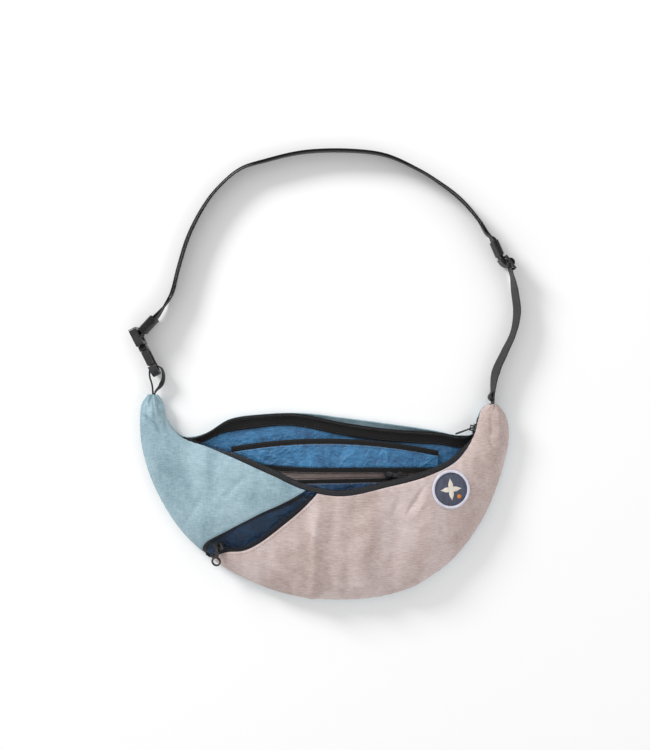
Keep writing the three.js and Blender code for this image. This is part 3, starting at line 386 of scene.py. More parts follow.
class Finish:
    """A procedural material: texture nodes that feed one Principled shader."""

    def __init__(self, name, slot, roughness, metallic=0.0, sheen=0.0, specular=0.5, coat=0.0):
        self.material = bpy.data.materials.new(name)
        self.material.use_nodes = True
        self.nodes = self.material.node_tree.nodes
        self.links = self.material.node_tree.links
        self.shader = self.nodes["Principled BSDF"]
        gloss = {"Roughness": roughness, "Metallic": metallic}
        gloss |= {"Specular IOR Level": specular, "Coat Weight": coat}
        for socket, value in {**gloss, "Sheen Weight": sheen, "Sheen Roughness": 0.4}.items():
            self.shader.inputs[socket].default_value = value

    def node(self, kind, **inputs):
        made = self.nodes.new(kind)
        for key, value in inputs.items():
            socket = made.inputs[int(key[1:]) if key[1:].isdigit() else key.replace("_", " ")]
            if isinstance(value, bpy.types.NodeSocket):
                self.links.new(value, socket)
            else:
                socket.default_value = value
        return made

    def place(self, scale, turn=0.0):
        where = self.node("ShaderNodeTexCoord").outputs["Object"]
        return self.node("ShaderNodeMapping", Vector=where, Scale=scale, Rotation=(0, 0, turn)).outputs[0]

    def along(self):
        """Distance along and across a strip, in metres."""
        split = self.node("ShaderNodeSeparateXYZ", Vector=self.uv())
        return split.outputs[0], split.outputs[1]

    def uv(self):
        made = self.nodes.new("ShaderNodeUVMap")
        made.uv_map = "weave"
        return made.outputs[0]

    def cloud(self, scale, low=0.35, high=0.65, detail=2.0, turn=0.0):
        """Stretched noise from 0 to 1; scale is bumps per metre along X, Y and Z."""
        where = self.place(scale, turn)
        made = self.node("ShaderNodeTexNoise", Vector=where, Scale=1.0, Detail=detail, Roughness=0.6)
        return self.span(made.outputs[0], low, high)

    def span(self, value, low, high, to_low=0.0, to_high=1.0):
        limits = dict(i1=low, i2=high, i3=to_low, i4=to_high)
        return self.node("ShaderNodeMapRange", Value=value, **limits).outputs[0]

    def math(self, operation, first, second=0.0):
        made = self.node("ShaderNodeMath", i0=first, i1=second)
        made.operation = operation
        return made.outputs[0]

    def add(self, first, second):
        return self.math("ADD", first, second)

    def times(self, first, second):
        return self.math("MULTIPLY", first, second)

    def wave(self, value, pitch):
        """From 0 to 1 and back once every pitch metres."""
        turned = self.times(value, 2 * math.pi / pitch)
        return self.span(self.math("SINE", turned), -1, 1)

    def bump(self, height, depth, strength=0.5):
        made = self.node("ShaderNodeBump", Height=height, Distance=depth, Strength=strength)
        self.links.new(made.outputs[0], self.shader.inputs["Normal"])

    def paint(self, share, dark, light):
        """Colour the surface from dark, where share is 0, to light, where it is 1."""
        mix = self.nodes.new("ShaderNodeMix")
        mix.data_type = "RGBA"
        amount, _, _, _, _, _, low, high = mix.inputs[:8]
        self.links.new(share, amount)
        low.default_value, high.default_value = linear(dark), linear(light)
        self.links.new(mix.outputs[2], self.shader.inputs["Base Color"])
        return self.material

    def rough(self, value, low, high):
        self.links.new(self.span(value, 0, 1, low, high), self.shader.inputs["Roughness"])


def melange(name, slot, dark, light, cross):
    """Heathered canvas: fine flat slubs, some upright ones, broad upright bands of painted light and shade where
    soft folds catch the light, and a plain weave.
    """
    f = Finish(name, slot, 0.88, sheen=0.2, specular=0.2)
    flat_slubs = f.cloud((150, 1500, 500), 0.34, 0.66, 3)
    upright_slubs = f.cloud((1500, 150, 500), 0.34, 0.66, 3)
    blotches = f.cloud((48, 52, 48), 0.36, 0.64, 4)
    # painted light and shade: broad upright bands make the cloth lighter and darker, as where soft folds catch the
    # light
    fold_light_bands = f.cloud((30, 6, 20), 0.4, 0.6, 2, turn=0.1)
    shade = f.times(flat_slubs, 0.48 - cross)
    for layer, share in ((upright_slubs, 0.08 + cross), (blotches, 0.22), (fold_light_bands, 0.32)):
        shade = f.add(shade, f.times(layer, share))
    split = f.node("ShaderNodeSeparateXYZ", Vector=f.place((1, 1, 1)))
    weave = f.times(f.wave(split.outputs[0], 0.0009), f.wave(split.outputs[1], 0.0008))
    height = f.add(f.times(weave, 0.5), f.times(flat_slubs, 0.5))
    f.bump(height, 0.0005, 0.55)
    return f.paint(f.span(shade, 0.12, 0.88), dark, light)


def nylon(name, slot, dark, light, roughness):
    """Thin crumpled lining: smooth, with a soft shine and small creases; its colour has painted shade and light,
    darker and lighter along the same folds and creases that bump it.
    """
    f = Finish(name, slot, roughness, sheen=0.3, specular=0.6)
    folds = f.cloud((60, 70, 60), 0.34, 0.66, 5)
    creases = f.cloud((230, 260, 230), 0.3, 0.7, 4)
    # painted shade and light: the colour follows the fold and crease noise, darker in the hollows and lighter on
    # the ridges
    shade = f.add(f.times(folds, 0.6), f.times(creases, 0.4))
    f.bump(f.add(creases, f.times(folds, 0.8)), 0.0011, 0.7)
    f.rough(creases, roughness - 0.08, roughness + 0.14)
    return f.paint(f.span(shade, 0.1, 0.9), dark, light)


def woven_strip(name, slot, dark, light, width, pitch, depth, shine=0.62):
    """Narrow tape or webbing with a chevron weave that follows its length."""
    f = Finish(name, slot, shine, sheen=0.12, specular=0.3)
    along, across = f.along()
    folded = f.math("ABSOLUTE", f.math("SUBTRACT", f.math("MODULO", across, width / 2), width / 4))
    chevron = f.wave(f.add(along, folded), pitch)
    threads = f.wave(across, pitch * 0.62)
    weave = f.times(chevron, f.span(threads, 0, 1, 0.5, 1))
    f.bump(weave, depth, 0.8)
    worn = f.cloud((90, 90, 90), 0.3, 0.7, 3)
    shade = f.add(f.times(weave, 0.55), f.times(worn, 0.45))
    return f.paint(shade, dark, light)


def moulded(name, slot, dark, light, roughness, metallic=0.0, grain=900):
    """Moulded nylon or painted metal with a fine grain and rubbed spots."""
    f = Finish(name, slot, roughness, metallic, specular=0.55, coat=0.15)
    speckle = f.cloud((grain, grain, grain), 0.3, 0.7, 3)
    rubbed = f.cloud((120, 120, 120), 0.42, 0.7, 4)
    f.bump(speckle, 0.00012, 0.4)
    gloss = f.add(f.times(speckle, 0.4), f.times(rubbed, 0.6))
    f.rough(gloss, roughness - 0.1, roughness + 0.14)
    return f.paint(rubbed, dark, light)


def embroidery(name, slot, dark, light, turn):
    """Satin stitch: close parallel threads with a silky shine."""
    f = Finish(name + "_thread", slot, 0.5, sheen=0.5, specular=0.5)
    split = f.node("ShaderNodeSeparateXYZ", Vector=f.place((1, 1, 1), turn))
    wander = f.times(f.cloud((300, 300, 300), 0.3, 0.7), 0.0003)
    threads = f.wave(f.add(split.outputs[0], wander), 0.00055)
    f.bump(threads, 0.00022, 0.8)
    return f.paint(f.span(f.add(threads, f.cloud((500, 90, 500))), 0, 2), dark, light)


AQUA = melange("aqua_canvas", "aqua_cloth", (116, 144, 155), (170, 195, 205), 0.12)
PINK = melange("pink_canvas", "pink_cloth", (174, 152, 146), (216, 200, 197), 0.02)
BLUE = nylon("blue_nylon", "blue_lining", (30, 84, 128), (62, 134, 184), 0.42)
NAVY = nylon("navy_nylon", "navy_lining", (16, 44, 72), (34, 80, 122), 0.4)
TAPE_BLACK = woven_strip("zip_tape_weave", "black_tape", (10, 10, 11), (21, 20, 23), 0.006, 0.0013, 0.0003)
COIL_BLACK = moulded("coil_nylon", "black_tape", (22, 22, 24), (44, 43, 46), 0.38)
WEBBING = woven_strip("webbing_weave", "black_webbing", (13, 13, 14), (34, 34, 36), 0.01, 0.0024, 0.0006, 0.6)
PLASTIC = moulded("black_nylon_moulding", "black_plastic", (22, 22, 24), (46, 46, 49), 0.36)
METAL = moulded("black_painted_metal", "black_metal", (26, 26, 28), (78, 78, 80), 0.3, 0.55, 1500)
THREAD_BLACK = embroidery("black", "black_tape", (20, 20, 22), (52, 52, 56), 0.3)
THREAD_AQUA = embroidery("aqua", "aqua_cloth", (124, 154, 164), (176, 202, 210), 0.3)
THREAD_PINK = embroidery("pink", "pink_cloth", (160, 138, 134), (206, 188, 184), 0.3)
THREAD_NAVY = embroidery("navy", "navy_lining", (14, 34, 54), (40, 84, 120), 0.3)
PATCH_NAVY = embroidery("patch_navy", "patch_navy", (44, 48, 66), (74, 80, 104), 0.6)
PATCH_WHITE = embroidery("patch_white", "patch_white", (206, 205, 224), (242, 242, 252), 0.0)
PATCH_CREAM = embroidery("patch_cream", "patch_cream", (216, 204, 188), (248, 242, 232), 0.9)
PATCH_ORANGE = embroidery("patch_orange", "patch_orange", (206, 110, 34), (244, 156, 60), 0.2)


# ------ outer cloth
# Straight creases: from, to, height and width.
CREASES = [
    ((-172.5, 82), (-155, 66.5), -2.6, 1.6), ((-170, 86), (-152, 71), 1.5, 3),
    ((-174, 76), (-160, 62), 0.9, 3.2), ((-161.5, 95), (-151, 73), -1.4, 2),
    ((-168, 99), (-164, 72), 1.2, 2.4), ((-172, 97), (-171, 78), -1, 2),
    ((97, 20), (78, -8), -1.7, 2.2), ((102, 17), (84, -13), 1.2, 3.2),
    ((72, 12), (64, -10), -0.9, 2.4), ((128, 36), (112, 40), -0.9, 2),
    ((-76, 26), (-98, 4), -1.2, 2.6), ((-58, 13), (-51, -5), 1.2, 3),
    ((-66, 9), (-61, -8), -1.2, 2.4), ((-47, 8), (-43, 0), -0.9, 2),
    ((-134, -20), (-118, 6), -0.8, 3), ((158, 86), (160, 62), -1.3, 2),
    ((165, 88), (167, 60), 1.1, 2.6), ((153, 70), (163, 52), -1.1, 2.2),
]
# Upright soft folds in the pink cloth: x at the top, x at the bottom, height and width.
DRAPES = [
    (-6, -14, 2.0, 5), (10, 4, -1.4, 7), (50, 32, 1.8, 8), (72, 58, -1.3, 7), (104, 88, 1.2, 8), (28, 18, -0.9, 5),
]
CREASE_END = 5  # a crease fades out over this length
HEM_WAVES = 78  # puckers along the whole seam


def crease_height(x, y):
    """All the straight creases together, each with a slightly wandering line."""
    height = np.zeros_like(x)
    for (x0, y0), (x1, y1), rise, width in CREASES:
        run = math.hypot(x1 - x0, y1 - y0)
        tx, ty = (x1 - x0) / run, (y1 - y0) / run
        along = (x - x0) * tx + (y - y0) * ty
        off = (x - x0) * ty - (y - y0) * tx + 1.2 * noise(x, y, 9, 31)
        ends = smoothstep(along, -CREASE_END, CREASE_END)
        ends = ends * (1 - smoothstep(along, run - CREASE_END, run + CREASE_END))
        height += rise * ends * np.exp(-((off / width) ** 2))
    return height


def cloth_height(points, station, v, edge):
    """How far the outer cloth stands off its smooth shape; edge is 0 to 1 away from a zip."""
    x, y = points[..., 0], points[..., 1]
    soft = 1.4 * noise(x, y, 42, 3) + 0.8 * noise(x, y, 19, 4) + 0.25 * noise(x, y, 8, 5)
    middle = smoothstep(v, 0.0, 0.2) * (1 - smoothstep(v, 0.86, 1.0))
    left = 1 - smoothstep(station, 0.4, 2.4)
    right = smoothstep(station, 12.9, 14.6)
    gather = np.sin(2 * np.pi * (3.4 * v + 0.5 * noise(x, y, 22, 6)))
    fine = np.sin(2 * np.pi * (8.5 * v + 0.8 * noise(x, y, 14, 7)))
    gathers = (left + 0.7 * right) * (1.1 * gather + 0.5 * fine) * np.sin(np.pi * v)
    drape = np.zeros_like(x)
    for top, bottom, height, width in DRAPES:
        line = lerp(bottom, top, smoothstep(y, -95, 20)) + 3 * noise(x, y, 30, 8)
        drape += height * np.exp(-(((x - line) / width) ** 2))
    drape *= smoothstep(station, 6.4, 7.4)
    around = 2 * np.pi * station / LAST * HEM_WAVES
    hem = 0.3 * np.exp(-v / 0.035) * np.sin(around) + 0.22 * np.exp(-(1 - v) / 0.04) * np.sin(around * 0.8)
    reach = np.hypot(x - PATCH_CENTRE[0], y - PATCH_CENTRE[1])
    calm = smoothstep(reach, PATCH_RADIUS * 0.9, PATCH_RADIUS * 1.7)
    body = (soft + drape + crease_height(x, y)) * middle * calm + gathers
    return (body + hem * calm) * edge


def shares(across, up):
    """Two grids of shares from 0 to 1: along the bag, and up from its seam."""
    return grid(lambda a, b: (a, b), across, up)


def front_panel(name, station_at, from_zip, across, up, finish, node):
    """Outer cloth; from_zip gives how far along it each point is from the pocket zip."""
    a, v = shares(across, up)
    station = station_at(a, v)
    points = front_point(station, v)
    loose = smoothstep(from_zip(a), 0, 0.07)
    sheet(name, points, -CLOTH, 0.0, finish, node, cloth_height(points, station, v, loose))


def to_aqua_edge(a, v):
    return a * aqua_station(v)


def from_pink_edge(a, v):
    return lerp(pink_station(v), LAST, a)


front_panel("front_cloth_aqua", to_aqua_edge, lambda a: 1 - a, 200, 120, AQUA, "front_panel_aqua")
front_panel("front_cloth_pink", from_pink_edge, lambda a: a, 300, 130, PINK, "front_panel_pink")

a, v = shares(300, 70)
back = back_point(a * LAST, v)
ripple = 0.5 * noise(back[..., 0], back[..., 1], 40, 11) * smoothstep(v, 0.02, 0.3) * (1 - smoothstep(v, 0.8, 1))
on_ground = (v > FLAT_FROM) & (v < FLAT_TO)
sheet("back_cloth", back, 0.0, CLOTH, AQUA, "back_panel", np.where(on_ground, 0.0, ripple * np.abs(v - 0.5) * 2))

# ------ linings
POCKET_FIRST, POCKET_LAST, POCKET_DEPTH = 4.8, 8.8, 11


def swell(value, low, high):
    return np.sin(np.pi * np.clip((value - low) / (high - low), 0, 1))


def pocket_floor(station, v):
    depth = POCKET_DEPTH * np.sqrt(swell(station, POCKET_FIRST, POCKET_LAST)) * swell(v, 0.1, 1)
    return front_point(station, v) - front_normal(station, v) * depth[..., None]


def hump(count):
    """From 0 at both ends of a row of points to 1 over most of it."""
    return np.sin(np.pi * np.linspace(0, 1, count)) ** 0.3


def lining(name, points, low, finish, node, amount, size, seed, follow=0):
    """Crumpled nylon whose lower face is at low; the creases die out towards its edges."""
    x, y = points[..., 0], points[..., 1]
    creases = amount * (crumple(x, y, size, seed) - 0.5) * (hump(x.shape[0])[:, None] * hump(x.shape[1]))
    sheet(name, points, low, low + LINING, finish, node, creases + follow)


def front_layer(name, span, across, depth, finish, node, *creases):
    """A lining inside the front panels; it gives way where their folds reach inwards."""
    first, last, low_v, high_v = span
    station, v = grid(lambda a, b: (lerp(first, last, a), lerp(low_v, high_v, b)), across, 60)
    follow = np.minimum(0, cloth_height(front_point(station, v), station, v, 1))
    lining(name, pocket_floor(station, v), -depth - LINING, finish, node, *creases, follow)


LINING_FIRST, LINING_LAST = 3.2, 12
POCKET_SPAN = (POCKET_FIRST + 0.35, POCKET_LAST - 0.35, 0.12, 0.95)
FRONT_SPAN = (LINING_FIRST, LINING_LAST, 0.07, 0.94)
front_layer("pocket_nylon", POCKET_SPAN, 130, CLOTH + GAP, NAVY, "front_pocket_lining", 1.4, 22, 21)
front_layer("front_nylon", FRONT_SPAN, 220, CLOTH + LINING + 3 * GAP, BLUE, "front_lining", 1.6, 26, 22)
wall = grid(lambda a, b: back_point(lerp(LINING_FIRST, LINING_LAST, a), lerp(FLAT_FROM, FLAT_TO, b)), 220, 80)
lining("back_nylon", wall + UP * (CLOTH + GAP + LINING / 2), -LINING / 2, BLUE, "back_lining", 1.0, 20, 23)


def bound_seam(count=160, sides=12, inset=3, level=8.75, half_wide=0.62, half_tall=1.3):
    """Tape-bound seam allowance, which stands up inside the bottom seam."""
    u = np.linspace(4, 11, count) / LAST
    seam_line = spline(SEAM, u)
    inward = unit((spline(RIM, u) - seam_line) * (1, 1, 0))
    pucker = 1 + 0.12 * np.sin(np.arange(count) * 1.3)
    centre = seam_line + inward * inset
    centre[:, 2] = level
    across = inward * (half_wide * pucker)[:, None]
    rings = rings_round(centre, across, np.broadcast_to(UP * half_tall, across.shape), sides)
    girth = np.arange(sides) / sides * 2 * np.pi * 0.9
    uv = np.stack([np.repeat(distances(centre), sides), np.tile(girth, count)], -1)
    make_piece("seam_allowance_binding", *tube(rings), TAPE_BLACK, nodes=["seam_binding"], uv=uv)


bound_seam()

# ------ main zip
CHAIN_DROP = 3.4
CHAIN_INSET = 0.6
ZIP_FIRST, ZIP_LAST = 3.05, 13.05
ZIP_CLOSES = (11.1, 11.95)


def zip_frame(station):
    """Edges of the back and front cloth, the way in from the back, and 1 where the zip is closed."""
    u = station / LAST
    rim, mouth = spline(RIM, u), spline(MOUTH, u)
    inward = unit((spline(SEAM, u) - rim) * (1, 1, 0))
    return rim, mouth, inward, smoothstep(station, *ZIP_CLOSES)[..., None]


def reveal_at(station):
    """Cloth that shows above the back tape, where it is sewn lower."""
    return (5 * swell(station, 6.8, 10.4) + 4.5 * (1 - smoothstep(station, 3.3, 4.2)))[..., None]


def front_shown(station, hidden, shown):
    """A size of the front tape, which is tucked under the cloth at the left."""
    return lerp(hidden, shown, smoothstep(station, 3.9, 5.2))[..., None]


def back_tape(a, b):
    """Tape sewn inside the back edge, lying open; it stands up where the zip is closed."""
    station = lerp(ZIP_FIRST, ZIP_LAST, a)
    rim, _, inward, closed = zip_frame(station)
    b = b[..., None]
    width = 12.5 + 2.5 * swell(station, 3.4, 6.4)[..., None]
    level = GAP + 0.5 - (rim[..., 2:] - 2.6) * b * 0.9
    flat = inward * (0.4 + reveal_at(station) + width * b) + UP * level
    upright = inward * CHAIN_INSET + UP * (GAP + (CHAIN_DROP - 1.8) * b)
    return rim + lerp(flat, upright, closed)


def front_tape(a, b):
    """Tape that hangs from the front edge; it stands up where the zip is closed."""
    station = lerp(ZIP_FIRST, ZIP_LAST, a)
    _, mouth, inward, closed = zip_frame(station)
    b = b[..., None]
    reach = front_shown(station, -0.6, 0.3) + front_shown(station, -0.4, 3.7) * b
    low = front_shown(station, 2.2, 1.6) + front_shown(station, 2.0, 8.2) * b
    upright = inward * CHAIN_INSET + UP * (-GAP - (CHAIN_DROP - 1.8) * b)
    return mouth + lerp(-inward * reach - UP * low, upright, closed)


def back_coil(t):
    station = lerp(ZIP_FIRST + 0.1, ZIP_LAST - 0.1, t)
    rim, _, inward, closed = zip_frame(station)
    flat = inward * (2.4 + reveal_at(station)) + UP * (GAP + 1.9)
    return rim + lerp(flat, inward * CHAIN_INSET + UP * CHAIN_DROP, closed)


def front_coil(t):
    station = lerp(ZIP_FIRST + 0.1, ZIP_LAST - 0.1, t)
    _, mouth, inward, closed = zip_frame(station)
    low = front_shown(station, 2.2, 0.8) + front_shown(station, 2.0, 9) + 1.7
    droop = -inward * (front_shown(station, -0.4, 3.2) + 1.0) - UP * low
    return mouth + lerp(droop, inward * CHAIN_INSET - UP * CHAIN_DROP, closed)


def tape(name, surface, node, wobble, seed, across=420, up=8):
    """Zip tape whose free edge wobbles a little; returns its grid of points."""
    points = grid(surface, across, up)
    wave = wobble * noise(points[..., 0], points[..., 1], 17, seed) * np.linspace(0, 1, up + 1)[None]
    sheet(name, points, -TAPE / 2, TAPE / 2, TAPE_BLACK, node, wave)
    return points


back_tape_points = tape("zip_tape_on_back", back_tape, "main_zip_tape_back", 0.5, 41)
front_tape_points = tape("zip_tape_on_front", front_tape, "main_zip_tape_front", 0.6, 42)
t = np.linspace(0, 1, 1200)
_, _, inward_all, closed_all = zip_frame(lerp(ZIP_FIRST, ZIP_LAST, t))
facing = lerp(np.broadcast_to(UP, inward_all.shape), inward_all, closed_all)
coil("zip_coil_on_back", back_coil(t), facing, "main_zip_coil_back", *MAIN_COIL)
coil("zip_coil_on_front", front_coil(t), facing, "main_zip_coil_front", *MAIN_COIL)
TOPSTITCHES = (("back", back_tape_points, 2), ("back_low", back_tape_points, 7), ("front", front_tape_points, 5))
for name, points, row in TOPSTITCHES:
    normals = grid_normals(points)[20:-20, row]
    normals = normals * np.sign(normals[:, 2:] + 1e-6)
    stitches(f"zip_topstitch_{name}", points[20:-20, row] + normals * TAPE / 2, normals, THREAD_BLACK)

# ------ front pocket zip
POCKET_TAPE_WIDTH, POCKET_ZIP_LOW, POCKET_ZIP_HIGH = 3.0, 0.1, 0.97


def slit(station_at, side, v):
    """The edge of a front panel, the cloth's normal, and the way across the slit."""
    v0, v1 = np.maximum(0, v - 0.01), np.minimum(1, v + 0.01)
    along = unit(front_point(station_at(v1), v1) - front_point(station_at(v0), v0))
    normal = front_normal(station_at(v), v)
    return front_point(station_at(v), v), normal, unit(np.cross(along, normal) * side)


def hang_at(v, side):
    """Share of a right angle by which the aqua side's tape is folded down under its edge."""
    return 0.75 * swell(v, 0.36, 0.95) ** 0.5 * (side > 0)


def pocket_side(hue, station_at, side, cloth_thread):
    """Tape, coil and topstitching on one side of the pocket zip."""

    def offset(v, reach):
        point, normal, across = slit(station_at, side, v)
        fold = np.pi / 2 * hang_at(v, side)
        out, down = 2 * GAP + reach * np.cos(fold), CLOTH / 2 + reach * np.sin(fold)
        return point + across * out[..., None] - normal * down[..., None]

    def surface(a, b):
        return offset(lerp(POCKET_ZIP_LOW, POCKET_ZIP_HIGH, a), (POCKET_TAPE_WIDTH - GAP) * b)

    tape(f"pocket_zip_tape_on_{hue}", surface, f"pocket_zip_tape_{hue}", 0.15, 43, 160, 5)
    v = np.linspace(POCKET_ZIP_LOW, POCKET_ZIP_HIGH, 400)
    point, normal, across = slit(station_at, side, v)
    centre = offset(v, POCKET_TAPE_WIDTH + 1.6 - 2 * GAP)
    coil(f"pocket_zip_coil_on_{hue}", centre, normal, f"pocket_zip_coil_{hue}", *POCKET_COIL)
    stitches(f"pocket_topstitch_{hue}", point - across * 2.2 + normal * 0.05, normal, cloth_thread)


pocket_side("pink", pink_station, -1, THREAD_PINK)
pocket_side("aqua", aqua_station, 1, THREAD_AQUA)

# ------ pockets on the inner back wall
WALL_LEFT, WALL_RIGHT, WALL_FLOOR = -91, 110, -42


def slip_top(x):
    return 58 - 0.00098 * x * x


def zip_top(x):
    return 29.6 + np.where(x < 0, 0.0009 * x * x, 0)


def zip_low(x):
    return 19.2 + 0.02 * np.minimum(x, 72) + smoothstep(x, 50, 72)


def floor_line(x):
    return WALL_FLOOR + 0 * x


def wall_level(x, b=0):
    """Height of the pockets over the ground, the same from bottom to top."""
    return 4.1 + 4.2 * np.sqrt(swell(x, WALL_LEFT - 4, WALL_RIGHT + 4))


def backing_level(x, b):
    return 3.1 + 0 * x


def zip_panel_level(x, b):
    return lerp(3.9, wall_level(x), np.sqrt(b))


def shifted(line, by):
    return lambda x: line(x) + by


def wall_strip(name, low, high, finish, node, puff, thick=LINING, level=wall_level, up=10, size=14, seed=50):
    """A strip of cloth on the back wall between two lines, each a function of x."""

    def surface(a, b):
        x = lerp(WALL_LEFT, WALL_RIGHT, a)
        return np.stack([x, lerp(low(x), high(x), b), level(x, b)], -1)

    points = grid(surface, 300, up)
    edge = np.sin(np.pi * np.linspace(0, 1, up + 1))[None] ** 0.5
    creases = puff * (crumple(points[..., 0], points[..., 1], size, seed) - 0.4) * edge
    sheet(name, points, -thick / 2, thick / 2, finish, node, creases)


wall_strip(
    "pocket_backing_cloth", floor_line, shifted(slip_top, -1), PINK, "inner_pocket_backing",
    0.3, thick=0.5, level=backing_level, up=60,
)
wall_strip(
    "slip_pocket_cloth", shifted(zip_top, 2.6), shifted(slip_top, -3), BLUE, "inner_slip_pocket_panel",
    1.9, up=40, size=13,
)
wall_strip(
    "slip_pocket_tape", shifted(slip_top, -2.6), shifted(slip_top, 2.6), TAPE_BLACK, "inner_slip_pocket_binding",
    0.2, thick=1.0,
)
for name, line, below, above in (("upper", zip_top, -1.8, 2.2), ("lower", zip_low, -2.0, 1.8)):
    edges = (shifted(line, below), shifted(line, above))
    wall_strip(f"inner_tape_{name}", *edges, TAPE_BLACK, f"inner_zip_tape_{name}", 0.15)
wall_strip(
    "zip_pocket_cloth", floor_line, shifted(zip_low, -2.4), NAVY, "inner_zip_pocket_panel",
    2.2, level=zip_panel_level, up=60, size=20, seed=60,
)


def wall_line(line, rise=0):
    """Points along a line on the back wall, and the way up from each."""
    x = np.linspace(WALL_LEFT + 4, WALL_RIGHT - 4, 300)
    points = np.stack([x, line(x), wall_level(x) + rise], -1)
    return points, np.broadcast_to(UP, points.shape)


coil("inner_coil_above", *wall_line(shifted(zip_top, -3.0)), "inner_zip_coil_upper", *INNER_COIL)
coil("inner_coil_below", *wall_line(shifted(zip_low, 3.0)), "inner_zip_coil_lower", *INNER_COIL)
for name, line in (("top", shifted(slip_top, -4.3)), ("bottom", shifted(zip_top, 3.9))):
    stitches(f"slip_topstitch_{name}", *wall_line(line, 0.55), THREAD_NAVY, 1.5, 1.1, 0.2)

# ------ patch
def on_front(x, y):
    """The point of the front panel above x, y, and its normal."""
    station, v = np.full(np.shape(x), 10.5), np.full(np.shape(x), 0.8)
    h = 0.002
    for _ in range(14):
        p = front_point(station, v)
        ds = (front_point(station + h, v) - p) / h
        dv = (front_point(station, v + h) - p) / h
        det = ds[..., 0] * dv[..., 1] - ds[..., 1] * dv[..., 0]
        dx, dy = x - p[..., 0], y - p[..., 1]
        station = station + (dx * dv[..., 1] - dy * dv[..., 0]) / det
        v = v + (ds[..., 0] * dy - ds[..., 1] * dx) / det
    return front_point(station, v), front_normal(station, v)


def disc_surface(radius, lift, centre=(0, 0), turn=0.0, shape=None):
    """A disc on the front panel, or another outline that shape gives as radius for each angle."""
    def surface(a, b):
        angle, reach = a * 2 * np.pi, b * radius
        if shape is not None:
            reach = b * shape(angle)
        x = PATCH_CENTRE[0] + centre[0] + reach * np.cos(angle + turn)
        y = PATCH_CENTRE[1] + centre[1] + reach * np.sin(angle + turn)
        point, normal = on_front(x, y)
        return point + normal * lift

    return surface


def patch_layer(name, finish, node, surface, across, up, thick):
    """A flat embroidered shape: rings of points from its middle outwards, closed underneath."""
    points = grid(surface, across, up, start=0.02)[:-1]
    _, normals = on_front(points[..., 0], points[..., 1])
    puff = np.sqrt(1 - (np.linspace(0, 1, up + 1)) ** 6)[None, :, None]
    top = points + normals * thick * puff
    bottom = points[:, ::-1]
    rings = np.concatenate([top, bottom], axis=1)
    count, size = rings.shape[:2]
    index = np.arange(count * size).reshape(count, size)
    ahead = np.roll(index, -1, axis=0)
    faces = four_sided(index[:, :-1], ahead[:, :-1], ahead[:, 1:], index[:, 1:]).tolist()
    faces += [index[:, 0].tolist(), index[::-1, -1].tolist()]
    make_piece(name, rings.reshape(-1, 3), faces, finish, nodes=[node])


def star_shape(angle):
    """Outline of a soft four-pointed star."""
    wrapped = np.abs((angle / (np.pi / 2) + 0.5) % 1 - 0.5) * 2
    return lerp(10.6, 3.1, wrapped**0.62)


def merrowed_border(stitch_count=120, steps=720):
    """Raised rolled edge of the patch."""
    angle = np.linspace(0, 2 * np.pi, steps + 1)[:-1]
    radius = PATCH_RADIUS - 1.1
    x, y = PATCH_CENTRE[0] + radius * np.cos(angle), PATCH_CENTRE[1] + radius * np.sin(angle)
    core, normal = on_front(x, y)
    radial = np.stack([np.cos(angle), np.sin(angle), 0 * angle], -1)
    radial = unit(radial - normal * np.sum(radial * normal, axis=1, keepdims=True))
    ridge = (1 + 0.09 * np.cos(angle * stitch_count))[:, None]
    rings = rings_round(core + normal * (GAP + 0.6), radial * (1.35 * ridge), normal * (0.85 * ridge), 10)
    make_piece("patch_merrowed_edge", *tube(rings, closed=True), PATCH_WHITE, nodes=["patch_border"])


ground = disc_surface(PATCH_RADIUS - 2.0, GAP)
figure = disc_surface(10, GAP + 0.7, turn=0.1, shape=star_shape)
spot = disc_surface(2.0, GAP + 0.7, centre=(7.8, -6.6))
patch_layer("patch_ground", PATCH_NAVY, "patch_disc", ground, 96, 14, 0.8)
patch_layer("patch_figure", PATCH_CREAM, "patch_star", figure, 128, 12, 0.7)
patch_layer("patch_spot", PATCH_ORANGE, "patch_dot", spot, 32, 5, 0.7)
merrowed_border()

# ------ strap
TRIGLIDE_AT = np.array([176.8, 229.6])
TRI_ALONG, TRI_OUT = np.array([-0.6, 0.8]), np.array([0.8, 0.6])
HOOK_BAR = np.array([-180.4, 158.9])
STRAP_TO_HOOK = 47  # degrees
WEB_SIDES = 20
KEEPER_SIDES, KEEPER_RIBS, KEEPER_MIDDLE = 28, 9, 13
# Middle line of the doubled strap, half the distance between its layers, inward lean in degrees.
DOUBLED = [
    (157, 259.4, 1, 6), (149.3, 273.2, 1.1, 10), (130.9, 294.4, 1.3, 11.5), (109.4, 310.8, 1.1, 11.5),
    (90.6, 321.9, 0.9, 10), (59, 335.4, 0.9, 8), (23.7, 339.7, 0.9, 7), (-20.9, 338.3, 0.9, 7),
    (-57.3, 330.4, 0.9, 8), (-82.8, 322.4, 0.9, 10), (-105.4, 303.4, 0.9, 11), (-119.1, 285, 1.1, 10.5),
    (-133.5, 256.6, 1.3, 10), (-143.1, 225.4, 1.3, 9), (-149.8, 199.3, 1.2, 7),
]


def tri(s, n, z=HARDWARE_LIFT):
    p = TRIGLIDE_AT + TRI_ALONG * s + TRI_OUT * n
    return (p[0], p[1], z, 0)


def layer(side, back):
    """One layer of the doubled strap, on the given side of the middle line."""
    line = np.array([(x, y, 0) for x, y, _, _ in DOUBLED], float)
    share = np.linspace(0, 1, len(line))
    along = unit(spline(line, share + 1e-4) - spline(line, share - 1e-4))
    along[-1], along[0] = unit(line[-1] - line[-2]), unit(line[1] - line[0])
    points = [
        (x + t[1] * side * half, y - t[0] * side * half, 0.3, -lean if back else lean)
        for (x, y, half, lean), t in zip(DOUBLED, along)
    ]
    return points[::-1] if back else points


